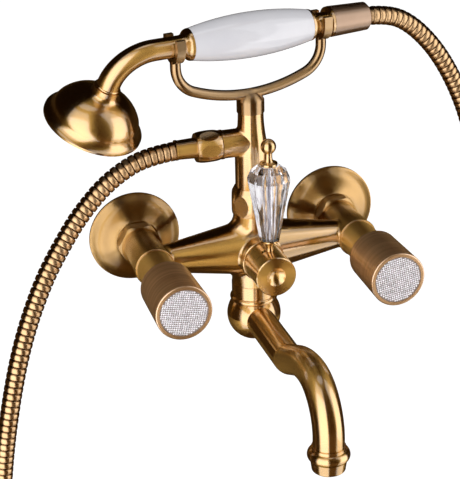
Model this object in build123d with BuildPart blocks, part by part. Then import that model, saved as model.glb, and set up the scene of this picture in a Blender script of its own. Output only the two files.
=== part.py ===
from build123d import *
import os
from math import asin, degrees, radians, sqrt, tan

os.makedirs("parts", exist_ok=True)

# Bath shower mixer on two wall inlets. X runs to the right along the wall, -Y points away from
# the wall to the bather, Z is up. The origin is the midpoint of the two wall connections.

# Whole mixer
inlet_centres = 150.0
axis_rise = 8.0
hub_reach = 47.2
fixed_gap = 0.05
running_gap = 0.06
face_gap = 0.1
clear_gap = 0.4
overrun = 1.0
flats_share = 0.5
nut_sides = 6

# Wall connections, as distances from the wall
wall_thread_r = 10.48
wall_thread_length = 16.0
union_web_r = 12.0
union_web_length = 6.0
union_thread_r = 13.22
union_end = 14.8
union_wall_bore_r = 7.0
union_bore_r = 8.6
rose_r = 33.3
rose_lip = 1.6
rose_shoulder = 4.6
rose_shoulder_r = 29.4
rose_pull_share = 0.5
rose_throat = 9.4
rose_throat_r = 18.0
rose_depth = 11.3
rose_neck_r = 15.4
rose_wall = 1.2
washer_thickness = 1.5
washer_hole_r = 7.5
nut_start = 11.5
nut_end = 21.0
nut_flats = 29.0
nut_corner_r = 15.9
nut_edge_r = 14.2
nut_chamfer = 1.4
nut_floor = 2.5

# Valve barrels, as distances from the wall
tail_flange_r = 12.9
tail_flange_thickness = 2.0
tail_neck_r = 11.0
tail_bore_r = 8.0
tail_bore_end = 30.0
seat_r = 5.5
seat_distance = 38.0
barrel_start = 21.3
barrel_root_r = 12.6
barrel_r = 13.7
barrel_bead_start = 57.8
barrel_bead_r = 14.2
barrel_end = 60.0
arm_fillet_r = 2.8

# Headworks, knobs and their inlays
headwork_r = 9.2
headwork_start = 38.4
headwork_chamber_r = 7.6
headwork_chamber_end = 54.0
headwork_window_r = 3.6
headwork_hex_r = 11.0
headwork_hex_length = 4.0
headwork_sleeve_r = 6.0
headwork_sleeve_end = 89.0
disc_r = 7.2
disc_thickness = 2.4
disc_port_r = 2.2
disc_port_offset = 4.0
spindle_r = 3.9
spindle_foot = 1.6
spindle_end = 112.0
spindle_thread_depth = 10.0
bonnet_r = 13.1
bonnet_wall = 1.3
bonnet_front_wall = 2.4
bonnet_end = 90.0
bonnet_edge = 0.6
knob_back = 88.6
knob_front = 134.2
knob_back_r = 18.3
knob_r = 19.25
knob_shoulder = 2.6
knob_edge = 1.0
knob_recess_r = 14.3
knob_recess_depth = 14.0
inlay_r = 16.6
inlay_thickness = 2.2
inlay_sink = 0.5
knob_screw_r = 1.95
knob_screw_head_r = 3.8
knob_screw_head_length = 2.4

# Body casting, heights measured from the valve axes
hub_crown_r = 19.6
hub_crown_reach = 12.0
hub_shoulder_r = 18.6
arm_root_r = 8.1
arm_bore_r = 4.6
neck_r = 13.5
neck_top = 26.4
neck_stock_top = 36.0
neck_fillet_r = 9.0
lower_neck_r = 15.3
lower_neck_fillet_r = 7.0
neck_bottom = -26.5
upper_bore_r = 6.5
lower_bore_r = 8.5
top_thread_r = 12.75
top_thread_end = 35.4
spigot_r = 13.3
spigot_bottom = -34.0
diverter_drop = 1.4
boss_r = 14.6
boss_front = 72.2
boss_fillet_r = 2.6
boss_bead_r = 15.5
boss_bead_length = 2.6
diverter_bore_r = 10.0
diverter_bore_end = 36.0

# Diverter and its lever, distances from the wall and heights from the valve axes
diverter_start = 38.0
diverter_end = 71.8
diverter_chamber_r = 7.6
diverter_chamber_end = 58.0
diverter_window_r = 4.4
diverter_foot_start = 52.4
diverter_foot_end = 56.0
diverter_spindle_r = 4.0
diverter_spindle_end = 91.0
lever_hub_r = 14.25
lever_hub_back = 72.6
lever_hub_front = 99.6
lever_hub_edge = 0.6
dimple_r = 6.7
dimple_depth = 3.2
lever_reach = 85.0
lever_rod_r = 1.6
lever_rod_bottom = 8.6
lever_foot_bottom = 10.6
lever_foot_r = 3.4
cup_waist_r = 2.7
cup_waist_height = 14.6
cup_r = 6.9
cup_top = 21.2
cup_lip = 1.0
crystal_foot_r = 6.9
crystal_wide_r = 14.9
crystal_wide_height = 65.5
crystal_shoulder_r = 12.2
crystal_shoulder_height = 71.6
crystal_top_r = 7.2
crystal_top = 75.4
crystal_sides = 12
crystal_bore_r = 2.2
finial_foot_r = 6.1
finial_foot_height = 77.0
finial_neck_r = 2.6
finial_neck_height = 81.6
finial_ball_r = 5.3
finial_ball_height = 88.5
finial_thread_depth = 6.0
grub_r = 1.6
grub_length = 3.6
grub_angle = 20.0

# Shower column, heights from the valve axes and reaches from its axis
column_nut_edge = 43.4
column_nut_top = 46.6
column_nut_bottom_r = 14.0
column_nut_r = 15.2
column_nut_edge_r = 13.9
column_nut_top_r = 12.2
column_nut_flats = 28.3
column_nut_turn = 10.0
column_nut_floor = 42.0
column_r = 11.5
column_straight_end = 70.0
column_waist_height = 88.0
column_waist_r = 9.6
column_top = 101.0
column_top_r = 8.9
column_spigot_r = 6.4
column_spigot_length = 7.6
column_bore_r = 6.5
column_bore_top = 86.0
clip_thickness = 1.2
clip_depth = 0.9
clip_r = 12.6
branch_height = 79.5
branch_r = 9.85
branch_reach = 20.8
branch_ring_r = 10.3
branch_ring_length = 1.5
branch_fillet_r = 2.0
branch_bore_r = 5.0
outlet_thread_r = 8.33
outlet_thread_end = 31.0
hose_nut_start = 22.8
hose_nut_end = 40.0
hose_nut_end_r = 10.0
hose_nut_r = 11.3
hose_nut_flats = 21.0
hose_nut_floor = 3.2
hose_washer_hole_r = 4.6
ferrule_flange_r = 8.2
ferrule_flange_length = 2.0
ferrule_root_r = 7.2
ferrule_r = 6.7
ferrule_end = 54.5
ferrule_ring_r = 7.1
ferrule_ring_length = 1.4

# Spout and its swivel, heights from the valve axes
collar_top = -26.6
collar_r = 15.6
collar_neck_height = -36.2
collar_bead_r = 17.0
collar_bead_height = -38.4
collar_bottom = -40.6
collar_floor = -36.4
ball_height = -52.2
ball_r = 19.35
ball_wall = 3.0
swivel_r = 10.0
swivel_top = -28.5
swivel_bore_r = 7.0
seal_height = -31.4
seal_wire_r = 0.9
spout_clip_r = 12.6
spout_r = 10.45
spout_bore_r = 8.7
spout_run = 74.0
spout_rise_radius = 14.0
spout_rise_angle = 25.0
spout_rise_run = 16.0
spout_hump_radius = 64.0
spout_bend_radius = 33.0
spout_drop = 9.5
outlet_length = 17.5
outlet_top_r = 11.3
outlet_step = 2.2
outlet_r = 14.15
outlet_ring_length = 7.4
outlet_waist_r = 12.2
outlet_lip_r = 11.2
outlet_mouth_r = 9.7
outlet_socket = 5.0
outlet_edge = 1.4
aerator_length = 11.6
aerator_hole_r = 1.5
aerator_hole_offset = 5.4
aerator_holes = 6

# Cradle, turned a little on the column
handset_turn = 9.2
handset_height = 155.2
cradle_bar_r = 3.65
cradle_bottom = 114.0
cradle_bow_radius = 115.0
cradle_corner_radius = 20.0
cradle_sleeve_r = 9.6
cradle_sleeve_top = 109.6
cradle_dome_top = 115.0
cradle_dome_r = 4.0
cradle_dome_bulge = 0.5
fork_width = 6.0
fork_inner_r = 7.7
fork_wall = 3.6
fork_tip = 6.6
fork_offset = 10.5
cradle_screw_r = 2.0
cradle_screw_height = 104.6

# Handset, its arm and end cap measured from the ends of the grip
head_roll = 23.0
grip_half_length = 44.5
grip_end_r = 10.9
grip_r = 15.4
grip_bore_r = 5.6
core_r = 5.0
core_bore_r = 3.8
core_arm_depth = 5.5
core_cap_depth = 12.5
arm_cap_r = 10.4
arm_cap_crest = 2.1
arm_cap_length = 7.1
arm_r = 7.2
arm_wall = 1.4
arm_straight_run = 18.5
arm_bend_radius = 30.0
arm_bend_angle = 75.6
arm_end_r = 7.9
arm_ring_r = 8.5
arm_ring_length = 1.6
arm_neck_run = 2.7
arm_thread_r = 6.8
arm_thread_length = 6.0
arm_thread_bore_r = 5.2
cap_r = 10.5
cap_crest = 2.1
cap_shoulder = 6.9
cap_waist_r = 7.3
cap_waist_length = 6.9
cap_flare = 1.3
cap_lip = 1.8
inlet_thread_length = 9.6
cone_nut_length = 29.6
cone_nut_r = 10.7
cone_nut_end_r = 9.8
cone_nut_chamfer = 1.8
handset_ferrule_length = 7.5
hose_end_r = 5.7
hose_exit_r = 6.3

# Shower head, heights up its axis from the rim
head_neck_height = 30.6
head_collar_r = 9.25
head_collar_length = 4.6
head_rim_r = 34.3
head_lip = 1.6
head_flare_height = 3.7
head_flare_r = 31.4
head_waist_height = 7.2
head_waist_r = 29.8
head_bowl_height = 13.0
head_bowl_r = 27.8
head_crown_height = 19.0
head_crown_r = 22.4
head_throat_height = 23.0
head_throat_r = 14.4
head_wall = 1.8
face_seat_r = 30.0
face_seat_height = 4.4
face_recess = 0.8
face_thickness = 2.2
face_ledge = 2.2
nozzle_r = 0.8
nozzle_rings = 3
nozzles_per_ring = 6
nozzle_ring_step = 7.6

# Hose, and its route between the straight runs out of its nut and out of the handset, chosen by hand
hose_r = 6.6
hose_root_r = 5.7
hose_bore_r = 4.2
rib_pitch = 5.0
rib_foot_share = 0.04
rib_crest_share = 0.22
arc_share = 0.45
hose_first_run = 31.5
hose_last_run = 26.0
left_route = [
    (-100.8, -48.5, 73.5),
    (-122.7, -51.5, 52.6),
    (-136.5, -57.0, 36.5),
    (-154.0, -64.5, 13.0),
    (-171.8, -72.5, -24.0),
    (-184.7, -80.0, -65.0),
    (-195.0, -84.0, -116.0),
]
low_route = [
    (-201.0, -85.0, -172.0),
    (-201.5, -84.5, -228.0),
    (-194.0, -82.0, -300.0),
    (-166.0, -79.5, -370.0),
    (-114.0, -76.0, -422.0),
    (-40.0, -71.0, -449.0),
    (42.0, -65.5, -445.0),
    (111.0, -59.0, -406.0),
    (157.0, -51.0, -346.0),
    (184.0, -43.0, -272.0),
    (194.0, -37.0, -196.0),
    (195.5, -33.0, -124.0),
    (194.0, -31.0, -68.0),
]
right_route = [
    (190.5, -28.9, -12.0),
    (184.0, -27.0, 32.0),
    (173.8, -26.2, 79.0),
    (152.9, -26.2, 122.8),
    (128.2, -27.0, 151.3),
]

# Directions, and the planes in which the outlines are drawn
rightward = Vector(1, 0, 0)
outward = Vector(0, -1, 0)
upward = Vector(0, 0, 1)
centre = outward * hub_reach + upward * axis_rise
column_section = Plane(origin=centre, x_dir=rightward, z_dir=outward)
column_level = Plane(origin=centre, x_dir=rightward, z_dir=upward)
column_axis = Axis(centre, upward)
arm_axis = Axis(centre, rightward)
right_angle = degrees(asin(1))


def wall_section(across, height):
    """Upright plane square to the wall: x is the distance from the wall, y the height."""
    place = rightward * across + upward * height
    return Plane(origin=place, x_dir=outward, z_dir=rightward * -1)


def wall_face(across, height, distance):
    """Plane along the wall at a distance from it, facing the bather."""
    place = rightward * across + upward * height + outward * distance
    return Plane(origin=place, x_dir=rightward, z_dir=outward)


# Body casting with its arms, valve barrels, upper neck, lower neck and diverter boss
diverter_height = axis_rise - diverter_drop
diverter_section = wall_section(0, diverter_height)
diverter_axis = Axis(diverter_section.origin, outward)
with BuildPart() as mixer_body:
    with BuildSketch(column_section):
        with BuildLine():
            Polyline(
                (-inlet_centres / 2, 0),
                (-inlet_centres / 2, arm_root_r),
                (-hub_crown_reach, hub_shoulder_r),
            )
            ThreePointArc(
                (-hub_crown_reach, hub_shoulder_r), (0, hub_crown_r), (hub_crown_reach, hub_shoulder_r)
            )
            Polyline(
                (hub_crown_reach, hub_shoulder_r),
                (inlet_centres / 2, arm_root_r),
                (inlet_centres / 2, 0),
                (-inlet_centres / 2, 0),
            )
        make_face()
    revolve(axis=arm_axis)
    with BuildSketch(column_level):
        Circle(neck_r)
    extrude(amount=neck_stock_top)
    neck_edges = mixer_body.edges(Select.NEW)
    fillet(neck_edges.sort_by(Axis.Z)[:-1], neck_fillet_r)
    with BuildSketch(column_level):
        Circle(lower_neck_r)
    extrude(amount=neck_bottom)
    neck_edges = mixer_body.edges(Select.NEW)
    fillet(neck_edges.sort_by(Axis.Z)[1:], lower_neck_fillet_r)
    with BuildSketch(column_level.offset(neck_top)):
        Circle(hub_crown_r)
    extrude(amount=neck_stock_top, mode=Mode.SUBTRACT)
    with BuildSketch(wall_face(0, diverter_height, hub_reach)):
        Circle(boss_r)
    extrude(amount=boss_front - hub_reach)
    boss_edges = mixer_body.edges(Select.NEW)
    fillet(boss_edges.sort_by(Axis.Y)[1:], boss_fillet_r)
    with BuildSketch(diverter_section):
        with BuildLine():
            ThreePointArc(
                (boss_front - boss_bead_length, boss_r),
                (boss_front - boss_bead_length / 2, boss_bead_r),
                (boss_front, boss_r),
            )
            Polyline(
                (boss_front, boss_r),
                (boss_front, diverter_bore_r),
                (boss_front - boss_bead_length, diverter_bore_r),
                (boss_front - boss_bead_length, boss_r),
            )
        make_face()
    revolve(axis=diverter_axis)
    for side in (-1, 1):
        valve = wall_section(side * inlet_centres / 2, axis_rise)
        with BuildSketch(valve):
            with BuildLine():
                Polyline(
                    (barrel_start, 0),
                    (barrel_start, barrel_root_r),
                    (barrel_bead_start, barrel_r),
                )
                ThreePointArc(
                    (barrel_bead_start, barrel_r),
                    ((barrel_bead_start + barrel_end) / 2, barrel_bead_r),
                    (barrel_end, barrel_r),
                )
                Polyline((barrel_end, barrel_r), (barrel_end, 0), (barrel_start, 0))
            make_face()
        revolve(axis=Axis(valve.origin, outward))
        joint_edges = mixer_body.edges(Select.NEW).filter_by(
            lambda edge: abs(edge.center().X) < inlet_centres / 2 - fixed_gap
        )
        fillet(joint_edges, arm_fillet_r)
    # Tails with their flanges for the union nuts
    for side in (-1, 1):
        valve = wall_section(side * inlet_centres / 2, axis_rise)
        tail_end = union_end + washer_thickness
        with BuildSketch(valve):
            Polygon(
                (tail_end, 0),
                (tail_end, tail_flange_r),
                (tail_end + tail_flange_thickness, tail_flange_r),
                (tail_end + tail_flange_thickness, tail_neck_r),
                (barrel_start, tail_neck_r),
                (barrel_start, 0),
                align=None,
            )
        revolve(axis=Axis(valve.origin, outward))
        with BuildSketch(valve):
            Polygon(
                (tail_end - overrun, 0),
                (tail_end - overrun, tail_bore_r),
                (tail_bore_end, tail_bore_r),
                (tail_bore_end, seat_r),
                (seat_distance, seat_r),
                (seat_distance, headwork_r + fixed_gap),
                (barrel_end + overrun, headwork_r + fixed_gap),
                (barrel_end + overrun, 0),
                align=None,
            )
        revolve(axis=Axis(valve.origin, outward), mode=Mode.SUBTRACT)
    # Waterways along the arms and the column, with threads for the column and the spout
    with BuildSketch(Plane(origin=centre, x_dir=outward, z_dir=rightward)):
        Circle(arm_bore_r)
    extrude(amount=inlet_centres / 2 - headwork_chamber_r, both=True, mode=Mode.SUBTRACT)
    with BuildSketch(column_section):
        Polygon(
            (upper_bore_r, neck_top),
            (top_thread_r, neck_top),
            (top_thread_r, top_thread_end),
            (upper_bore_r, top_thread_end),
            align=None,
        )
        Polygon(
            (swivel_r + running_gap, neck_bottom),
            (spigot_r, neck_bottom),
            (spigot_r, spigot_bottom),
            (swivel_r + running_gap, spigot_bottom),
            align=None,
        )
    revolve(axis=column_axis)
    swivel_socket = swivel_top + clear_gap
    with BuildSketch(column_section):
        Polygon(
            (0, top_thread_end + overrun),
            (upper_bore_r, top_thread_end + overrun),
            (upper_bore_r, 0),
            (lower_bore_r, 0),
            (lower_bore_r, swivel_socket),
            (swivel_r + running_gap, swivel_socket),
            (swivel_r + running_gap, spigot_bottom - overrun),
            (0, spigot_bottom - overrun),
            align=None,
        )
    revolve(axis=column_axis, mode=Mode.SUBTRACT)
    with BuildSketch(wall_face(0, diverter_height, diverter_bore_end)):
        Circle(diverter_bore_r)
    extrude(amount=boss_front - diverter_bore_end + overrun, mode=Mode.SUBTRACT)
mixer_body.part.label = "mixer_body"
export_step(mixer_body.part, "parts/mixer_body.step")

# Wall unions, roses, nuts, headworks and knobs, one set for each side
washer_rings = []
for side, name in ((-1, "hot"), (1, "cold")):
    across = side * inlet_centres / 2
    valve = wall_section(across, axis_rise)
    valve_axis = Axis(valve.origin, outward)

    # Eccentric wall union
    with BuildPart() as s_union:
        with BuildSketch(wall_face(across, 0, -wall_thread_length)):
            Circle(wall_thread_r)
        extrude(amount=wall_thread_length)
        with BuildSketch(wall_face(across, 0, 0)):
            Circle(union_web_r)
        with BuildSketch(wall_face(across, axis_rise, union_web_length)):
            Circle(union_thread_r)
        loft()
        with BuildSketch(wall_face(across, axis_rise, union_web_length)):
            Circle(union_thread_r)
        extrude(amount=union_end - union_web_length)
        with BuildSketch(wall_face(across, 0, -wall_thread_length - overrun)):
            Circle(union_wall_bore_r)
        extrude(amount=wall_thread_length + overrun, mode=Mode.SUBTRACT)
        with BuildSketch(wall_face(across, 0, 0)):
            Circle(union_wall_bore_r)
        with BuildSketch(wall_face(across, axis_rise, union_web_length)):
            Circle(union_bore_r)
        loft(mode=Mode.SUBTRACT)
        with BuildSketch(wall_face(across, axis_rise, union_web_length)):
            Circle(union_bore_r)
        extrude(amount=union_end - union_web_length + overrun, mode=Mode.SUBTRACT)
    s_union.part.label = f"s_union_{name}"
    export_step(s_union.part, f"parts/s_union_{name}.step")

    # Domed rose over the wall hole
    with BuildPart() as rose:
        with BuildSketch(valve):
            with BuildLine():
                Line((0, rose_r), (rose_lip, rose_r))
                Spline(
                    (rose_lip, rose_r),
                    (rose_shoulder, rose_shoulder_r),
                    (rose_throat, rose_throat_r),
                    (rose_depth, rose_neck_r),
                    tangents=((0, -1), (1, 0)),
                    tangent_scalars=(rose_pull_share, rose_pull_share),
                )
                Polyline(
                    (rose_depth, rose_neck_r),
                    (rose_depth, union_thread_r + fixed_gap),
                    (rose_depth - rose_wall - rose_wall, union_thread_r + fixed_gap),
                )
                Spline(
                    (rose_depth - rose_wall - rose_wall, union_thread_r + fixed_gap),
                    (rose_throat - rose_wall - rose_wall, rose_throat_r),
                    (rose_shoulder - rose_wall, rose_shoulder_r - rose_wall),
                    (rose_lip, rose_r - rose_wall),
                )
                Polyline((rose_lip, rose_r - rose_wall), (0, rose_r - rose_wall), (0, rose_r))
            make_face()
        revolve(axis=valve_axis)
    rose.part.label = f"rose_{name}"
    export_step(rose.part, f"parts/rose_{name}.step")

    # Hexagon nut that pulls the tail on to the union
    nut_bore_end = nut_end - nut_floor
    with BuildPart() as union_nut:
        with BuildSketch(valve):
            Polygon(
                (nut_start, union_thread_r + fixed_gap),
                (nut_start, nut_edge_r),
                (nut_start + nut_chamfer, nut_corner_r),
                (nut_end - nut_chamfer, nut_corner_r),
                (nut_end, nut_edge_r),
                (nut_end, tail_neck_r + fixed_gap),
                (nut_bore_end, tail_neck_r + fixed_gap),
                (nut_bore_end, union_thread_r + fixed_gap),
                align=None,
            )
        revolve(axis=valve_axis)
        with BuildSketch(wall_face(across, axis_rise, nut_start)):
            RegularPolygon(nut_flats * flats_share, nut_sides, major_radius=False)
        extrude(amount=nut_end - nut_start, mode=Mode.INTERSECT)
    union_nut.part.label = f"union_nut_{name}"
    export_step(union_nut.part, f"parts/union_nut_{name}.step")

    # Flat washer between the union and the tail
    with BuildPart() as inlet_washer:
        with BuildSketch(wall_face(across, axis_rise, union_end)):
            Circle(tail_flange_r)
            Circle(washer_hole_r, mode=Mode.SUBTRACT)
        extrude(amount=washer_thickness)
    washer_rings.append(inlet_washer.part)

    # Ceramic disc headwork with its windows to the arm
    hex_end = barrel_end + headwork_hex_length
    with BuildPart() as headwork:
        with BuildSketch(valve):
            Polygon(
                (headwork_start, headwork_chamber_r),
                (headwork_start, headwork_r),
                (barrel_end, headwork_r),
                (barrel_end, headwork_hex_r),
                (hex_end, headwork_hex_r),
                (hex_end, headwork_sleeve_r),
                (headwork_sleeve_end, headwork_sleeve_r),
                (headwork_sleeve_end, spindle_r + running_gap),
                (headwork_chamber_end, spindle_r + running_gap),
                (headwork_chamber_end, headwork_chamber_r),
                align=None,
            )
        revolve(axis=valve_axis)
        with BuildSketch(Plane(origin=valve.from_local_coords((hub_reach, 0)), z_dir=rightward)):
            Circle(headwork_window_r)
        extrude(amount=headwork_r + overrun, both=True, mode=Mode.SUBTRACT)
    headwork.part.label = f"headwork_{name}"
    export_step(headwork.part, f"parts/headwork_{name}.step")

    # Ceramic discs, one held and one turned by the spindle
    disc_stack = headwork_start + clear_gap
    with BuildPart() as held_disc:
        with BuildSketch(wall_face(across, axis_rise, disc_stack)):
            Circle(headwork_chamber_r - fixed_gap)
            with PolarLocations(disc_port_offset, 2):
                Circle(disc_port_r, mode=Mode.SUBTRACT)
        extrude(amount=disc_thickness)
    held_disc.part.label = f"held_disc_{name}"
    export_step(held_disc.part, f"parts/held_disc_{name}.step")
    turned_disc_start = disc_stack + disc_thickness + face_gap
    with BuildPart() as turned_disc:
        with BuildSketch(wall_face(across, axis_rise, turned_disc_start)):
            Circle(disc_r)
            with PolarLocations(disc_port_offset, 2):
                Circle(disc_port_r, mode=Mode.SUBTRACT)
        extrude(amount=disc_thickness)
    turned_disc.part.label = f"turned_disc_{name}"
    export_step(turned_disc.part, f"parts/turned_disc_{name}.step")

    # Spindle with its foot on the turned disc
    foot_start = turned_disc_start + disc_thickness
    with BuildPart() as spindle:
        with BuildSketch(valve):
            Polygon(
                (foot_start, 0),
                (foot_start, disc_r),
                (foot_start + spindle_foot, disc_r),
                (foot_start + spindle_foot, spindle_r),
                (spindle_end, spindle_r),
                (spindle_end, knob_screw_r + fixed_gap),
                (spindle_end - spindle_thread_depth, knob_screw_r + fixed_gap),
                (spindle_end - spindle_thread_depth, 0),
                align=None,
            )
        revolve(axis=valve_axis)
    spindle.part.label = f"spindle_{name}"
    export_step(spindle.part, f"parts/spindle_{name}.step")

    # Bonnet sleeve between the barrel and the knob
    with BuildPart() as bonnet:
        with BuildSketch(valve):
            Polygon(
                (barrel_end + face_gap, bonnet_r - bonnet_wall),
                (barrel_end + face_gap, bonnet_r),
                (bonnet_end - bonnet_edge, bonnet_r),
                (bonnet_end, bonnet_r - bonnet_edge),
                (bonnet_end, headwork_sleeve_r + fixed_gap),
                (bonnet_end - bonnet_front_wall, headwork_sleeve_r + fixed_gap),
                (bonnet_end - bonnet_front_wall, bonnet_r - bonnet_wall),
                align=None,
            )
        revolve(axis=valve_axis)
    bonnet.part.label = f"bonnet_{name}"
    export_step(bonnet.part, f"parts/bonnet_{name}.step")

    # Knob, recessed behind over the bonnet and in front for the crystal inlay
    inlay_seat = knob_front - inlay_sink - inlay_thickness
    screw_seat = inlay_seat - knob_screw_head_length
    with BuildPart() as knob:
        with BuildSketch(valve):
            with BuildLine():
                Polyline(
                    (knob_back, knob_recess_r),
                    (knob_back, knob_back_r - knob_shoulder),
                )
                RadiusArc(
                    (knob_back, knob_back_r - knob_shoulder),
                    (knob_back + knob_shoulder, knob_back_r),
                    knob_shoulder,
                )
                Polyline(
                    (knob_back + knob_shoulder, knob_back_r),
                    (knob_front - knob_edge, knob_r),
                )
                RadiusArc(
                    (knob_front - knob_edge, knob_r), (knob_front, knob_r - knob_edge), knob_edge
                )
                Polyline(
                    (knob_front, knob_r - knob_edge),
                    (knob_front, inlay_r + fixed_gap),
                    (inlay_seat, inlay_r + fixed_gap),
                    (inlay_seat, knob_screw_head_r + fixed_gap),
                    (screw_seat, knob_screw_head_r + fixed_gap),
                    (screw_seat, knob_screw_r + fixed_gap),
                    (spindle_end, knob_screw_r + fixed_gap),
                    (spindle_end, spindle_r + fixed_gap),
                    (knob_back + knob_recess_depth, spindle_r + fixed_gap),
                    (knob_back + knob_recess_depth, knob_recess_r),
                    (knob_back, knob_recess_r),
                )
            make_face()
        revolve(axis=valve_axis)
    knob.part.label = f"knob_{name}"
    export_step(knob.part, f"parts/knob_{name}.step")
    with BuildPart() as knob_screw:
        with BuildSketch(valve):
            Polygon(
                (spindle_end - spindle_thread_depth + overrun, 0),
                (spindle_end - spindle_thread_depth + overrun, knob_screw_r),
                (screw_seat, knob_screw_r),
                (screw_seat, knob_screw_head_r),
                (inlay_seat - fixed_gap, knob_screw_head_r),
                (inlay_seat - fixed_gap, 0),
                align=None,
            )
        revolve(axis=valve_axis)
    knob_screw.part.label = f"knob_screw_{name}"
    export_step(knob_screw.part, f"parts/knob_screw_{name}.step")
    with BuildPart() as inlay:
        with BuildSketch(wall_face(across, axis_rise, inlay_seat)):
            Circle(inlay_r)
        extrude(amount=inlay_thickness)
    inlay.part.label = f"inlay_{name}"
    export_step(inlay.part, f"parts/inlay_{name}.step")

inlet_washers = Compound(children=washer_rings, label="inlet_washers")
export_step(inlet_washers, "parts/inlet_washers.step")

# Diverter cartridge with windows to the arms, the column and the spout
with BuildPart() as diverter_cartridge:
    with BuildSketch(diverter_section):
        Polygon(
            (diverter_start, 0),
            (diverter_start, diverter_bore_r - fixed_gap),
            (diverter_end, diverter_bore_r - fixed_gap),
            (diverter_end, diverter_spindle_r + running_gap),
            (diverter_chamber_end, diverter_spindle_r + running_gap),
            (diverter_chamber_end, diverter_chamber_r),
            (diverter_start + overrun, diverter_chamber_r),
            (diverter_start + overrun, 0),
            align=None,
        )
    revolve(axis=diverter_axis)
    window_centre = diverter_section.from_local_coords((hub_reach, 0))
    with BuildSketch(Plane(origin=window_centre, z_dir=rightward)):
        Circle(diverter_window_r)
    extrude(amount=diverter_bore_r + overrun, both=True, mode=Mode.SUBTRACT)
    with BuildSketch(Plane(origin=window_centre, z_dir=upward)):
        Circle(diverter_window_r)
    extrude(amount=diverter_bore_r + overrun, both=True, mode=Mode.SUBTRACT)
diverter_cartridge.part.label = "diverter_cartridge"
export_step(diverter_cartridge.part, "parts/diverter_cartridge.step")

with BuildPart() as diverter_spindle:
    with BuildSketch(diverter_section):
        Polygon(
            (diverter_foot_start, 0),
            (diverter_foot_start, diverter_chamber_r - clear_gap),
            (diverter_foot_end, diverter_chamber_r - clear_gap),
            (diverter_foot_end, diverter_spindle_r),
            (diverter_spindle_end, diverter_spindle_r),
            (diverter_spindle_end, 0),
            align=None,
        )
    revolve(axis=diverter_axis)
diverter_spindle.part.label = "diverter_spindle"
export_step(diverter_spindle.part, "parts/diverter_spindle.step")

# Lever hub with a round dimple in front, a grub screw hole and a seat for the lever
lever_section = Plane(
    origin=outward * lever_reach + upward * axis_rise, x_dir=rightward, z_dir=outward
)
lever_axis = Axis(lever_section.origin, upward)
dimple_ball_r = (dimple_r**2 + dimple_depth**2) / (dimple_depth + dimple_depth)
grub_plane = Plane(
    origin=diverter_section.from_local_coords((lever_reach, 0)),
    z_dir=upward.rotate(Axis.Y, -grub_angle),
)
with BuildPart() as lever_hub:
    with BuildSketch(diverter_section):
        Polygon(
            (lever_hub_back, diverter_spindle_r + fixed_gap),
            (lever_hub_back, lever_hub_r - lever_hub_edge),
            (lever_hub_back + lever_hub_edge, lever_hub_r),
            (lever_hub_front - lever_hub_edge, lever_hub_r),
            (lever_hub_front, lever_hub_r - lever_hub_edge),
            (lever_hub_front, 0),
            (diverter_spindle_end, 0),
            (diverter_spindle_end, diverter_spindle_r + fixed_gap),
            align=None,
        )
    revolve(axis=diverter_axis)
    with BuildSketch(diverter_section):
        with BuildLine():
            dimple_centre = lever_hub_front - dimple_depth + dimple_ball_r
            ThreePointArc(
                (dimple_centre - dimple_ball_r, 0),
                (dimple_centre, dimple_ball_r),
                (dimple_centre + dimple_ball_r, 0),
            )
            Line((dimple_centre + dimple_ball_r, 0), (dimple_centre - dimple_ball_r, 0))
        make_face()
    revolve(axis=diverter_axis, mode=Mode.SUBTRACT)
    with BuildSketch(lever_section):
        Polygon(
            (0, lever_rod_bottom),
            (lever_rod_r + fixed_gap, lever_rod_bottom),
            (lever_rod_r + fixed_gap, lever_foot_bottom),
            (lever_foot_r + fixed_gap, lever_foot_bottom),
            (lever_foot_r + fixed_gap, lever_hub_r),
            (0, lever_hub_r),
            align=None,
        )
    revolve(axis=lever_axis, mode=Mode.SUBTRACT)
    with BuildSketch(grub_plane):
        Circle(grub_r + fixed_gap)
    extrude(amount=lever_hub_r + overrun, mode=Mode.SUBTRACT)
lever_hub.part.label = "lever_hub"
export_step(lever_hub.part, "parts/lever_hub.step")

with BuildPart() as lever_grub_screw:
    with BuildSketch(grub_plane.offset(diverter_spindle_r + fixed_gap)):
        Circle(grub_r)
    extrude(amount=grub_length)
lever_grub_screw.part.label = "lever_grub_screw"
export_step(lever_grub_screw.part, "parts/lever_grub_screw.step")

# Lever: a rod through the cup and the crystal into the finial
with BuildPart() as lever_rod:
    with BuildSketch(lever_section):
        Polygon(
            (0, lever_rod_bottom),
            (lever_rod_r, lever_rod_bottom),
            (lever_rod_r, crystal_top + finial_thread_depth),
            (0, crystal_top + finial_thread_depth),
            align=None,
        )
    revolve(axis=lever_axis)
lever_rod.part.label = "lever_rod"
export_step(lever_rod.part, "parts/lever_rod.step")

with BuildPart() as lever_cup:
    with BuildSketch(lever_section):
        with BuildLine():
            Polyline(
                (lever_rod_r + fixed_gap, lever_foot_bottom),
                (lever_foot_r, lever_foot_bottom),
                (cup_waist_r, cup_waist_height),
            )
            Spline(
                (cup_waist_r, cup_waist_height),
                (cup_r, cup_top - cup_lip),
                tangents=((0, 1), (1, 0)),
                tangent_scalars=(1, 1),
            )
            Polyline(
                (cup_r, cup_top - cup_lip),
                (cup_r, cup_top),
                (lever_rod_r + fixed_gap, cup_top),
                (lever_rod_r + fixed_gap, lever_foot_bottom),
            )
        make_face()
    revolve(axis=lever_axis)
lever_cup.part.label = "lever_cup"
export_step(lever_cup.part, "parts/lever_cup.step")

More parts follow.
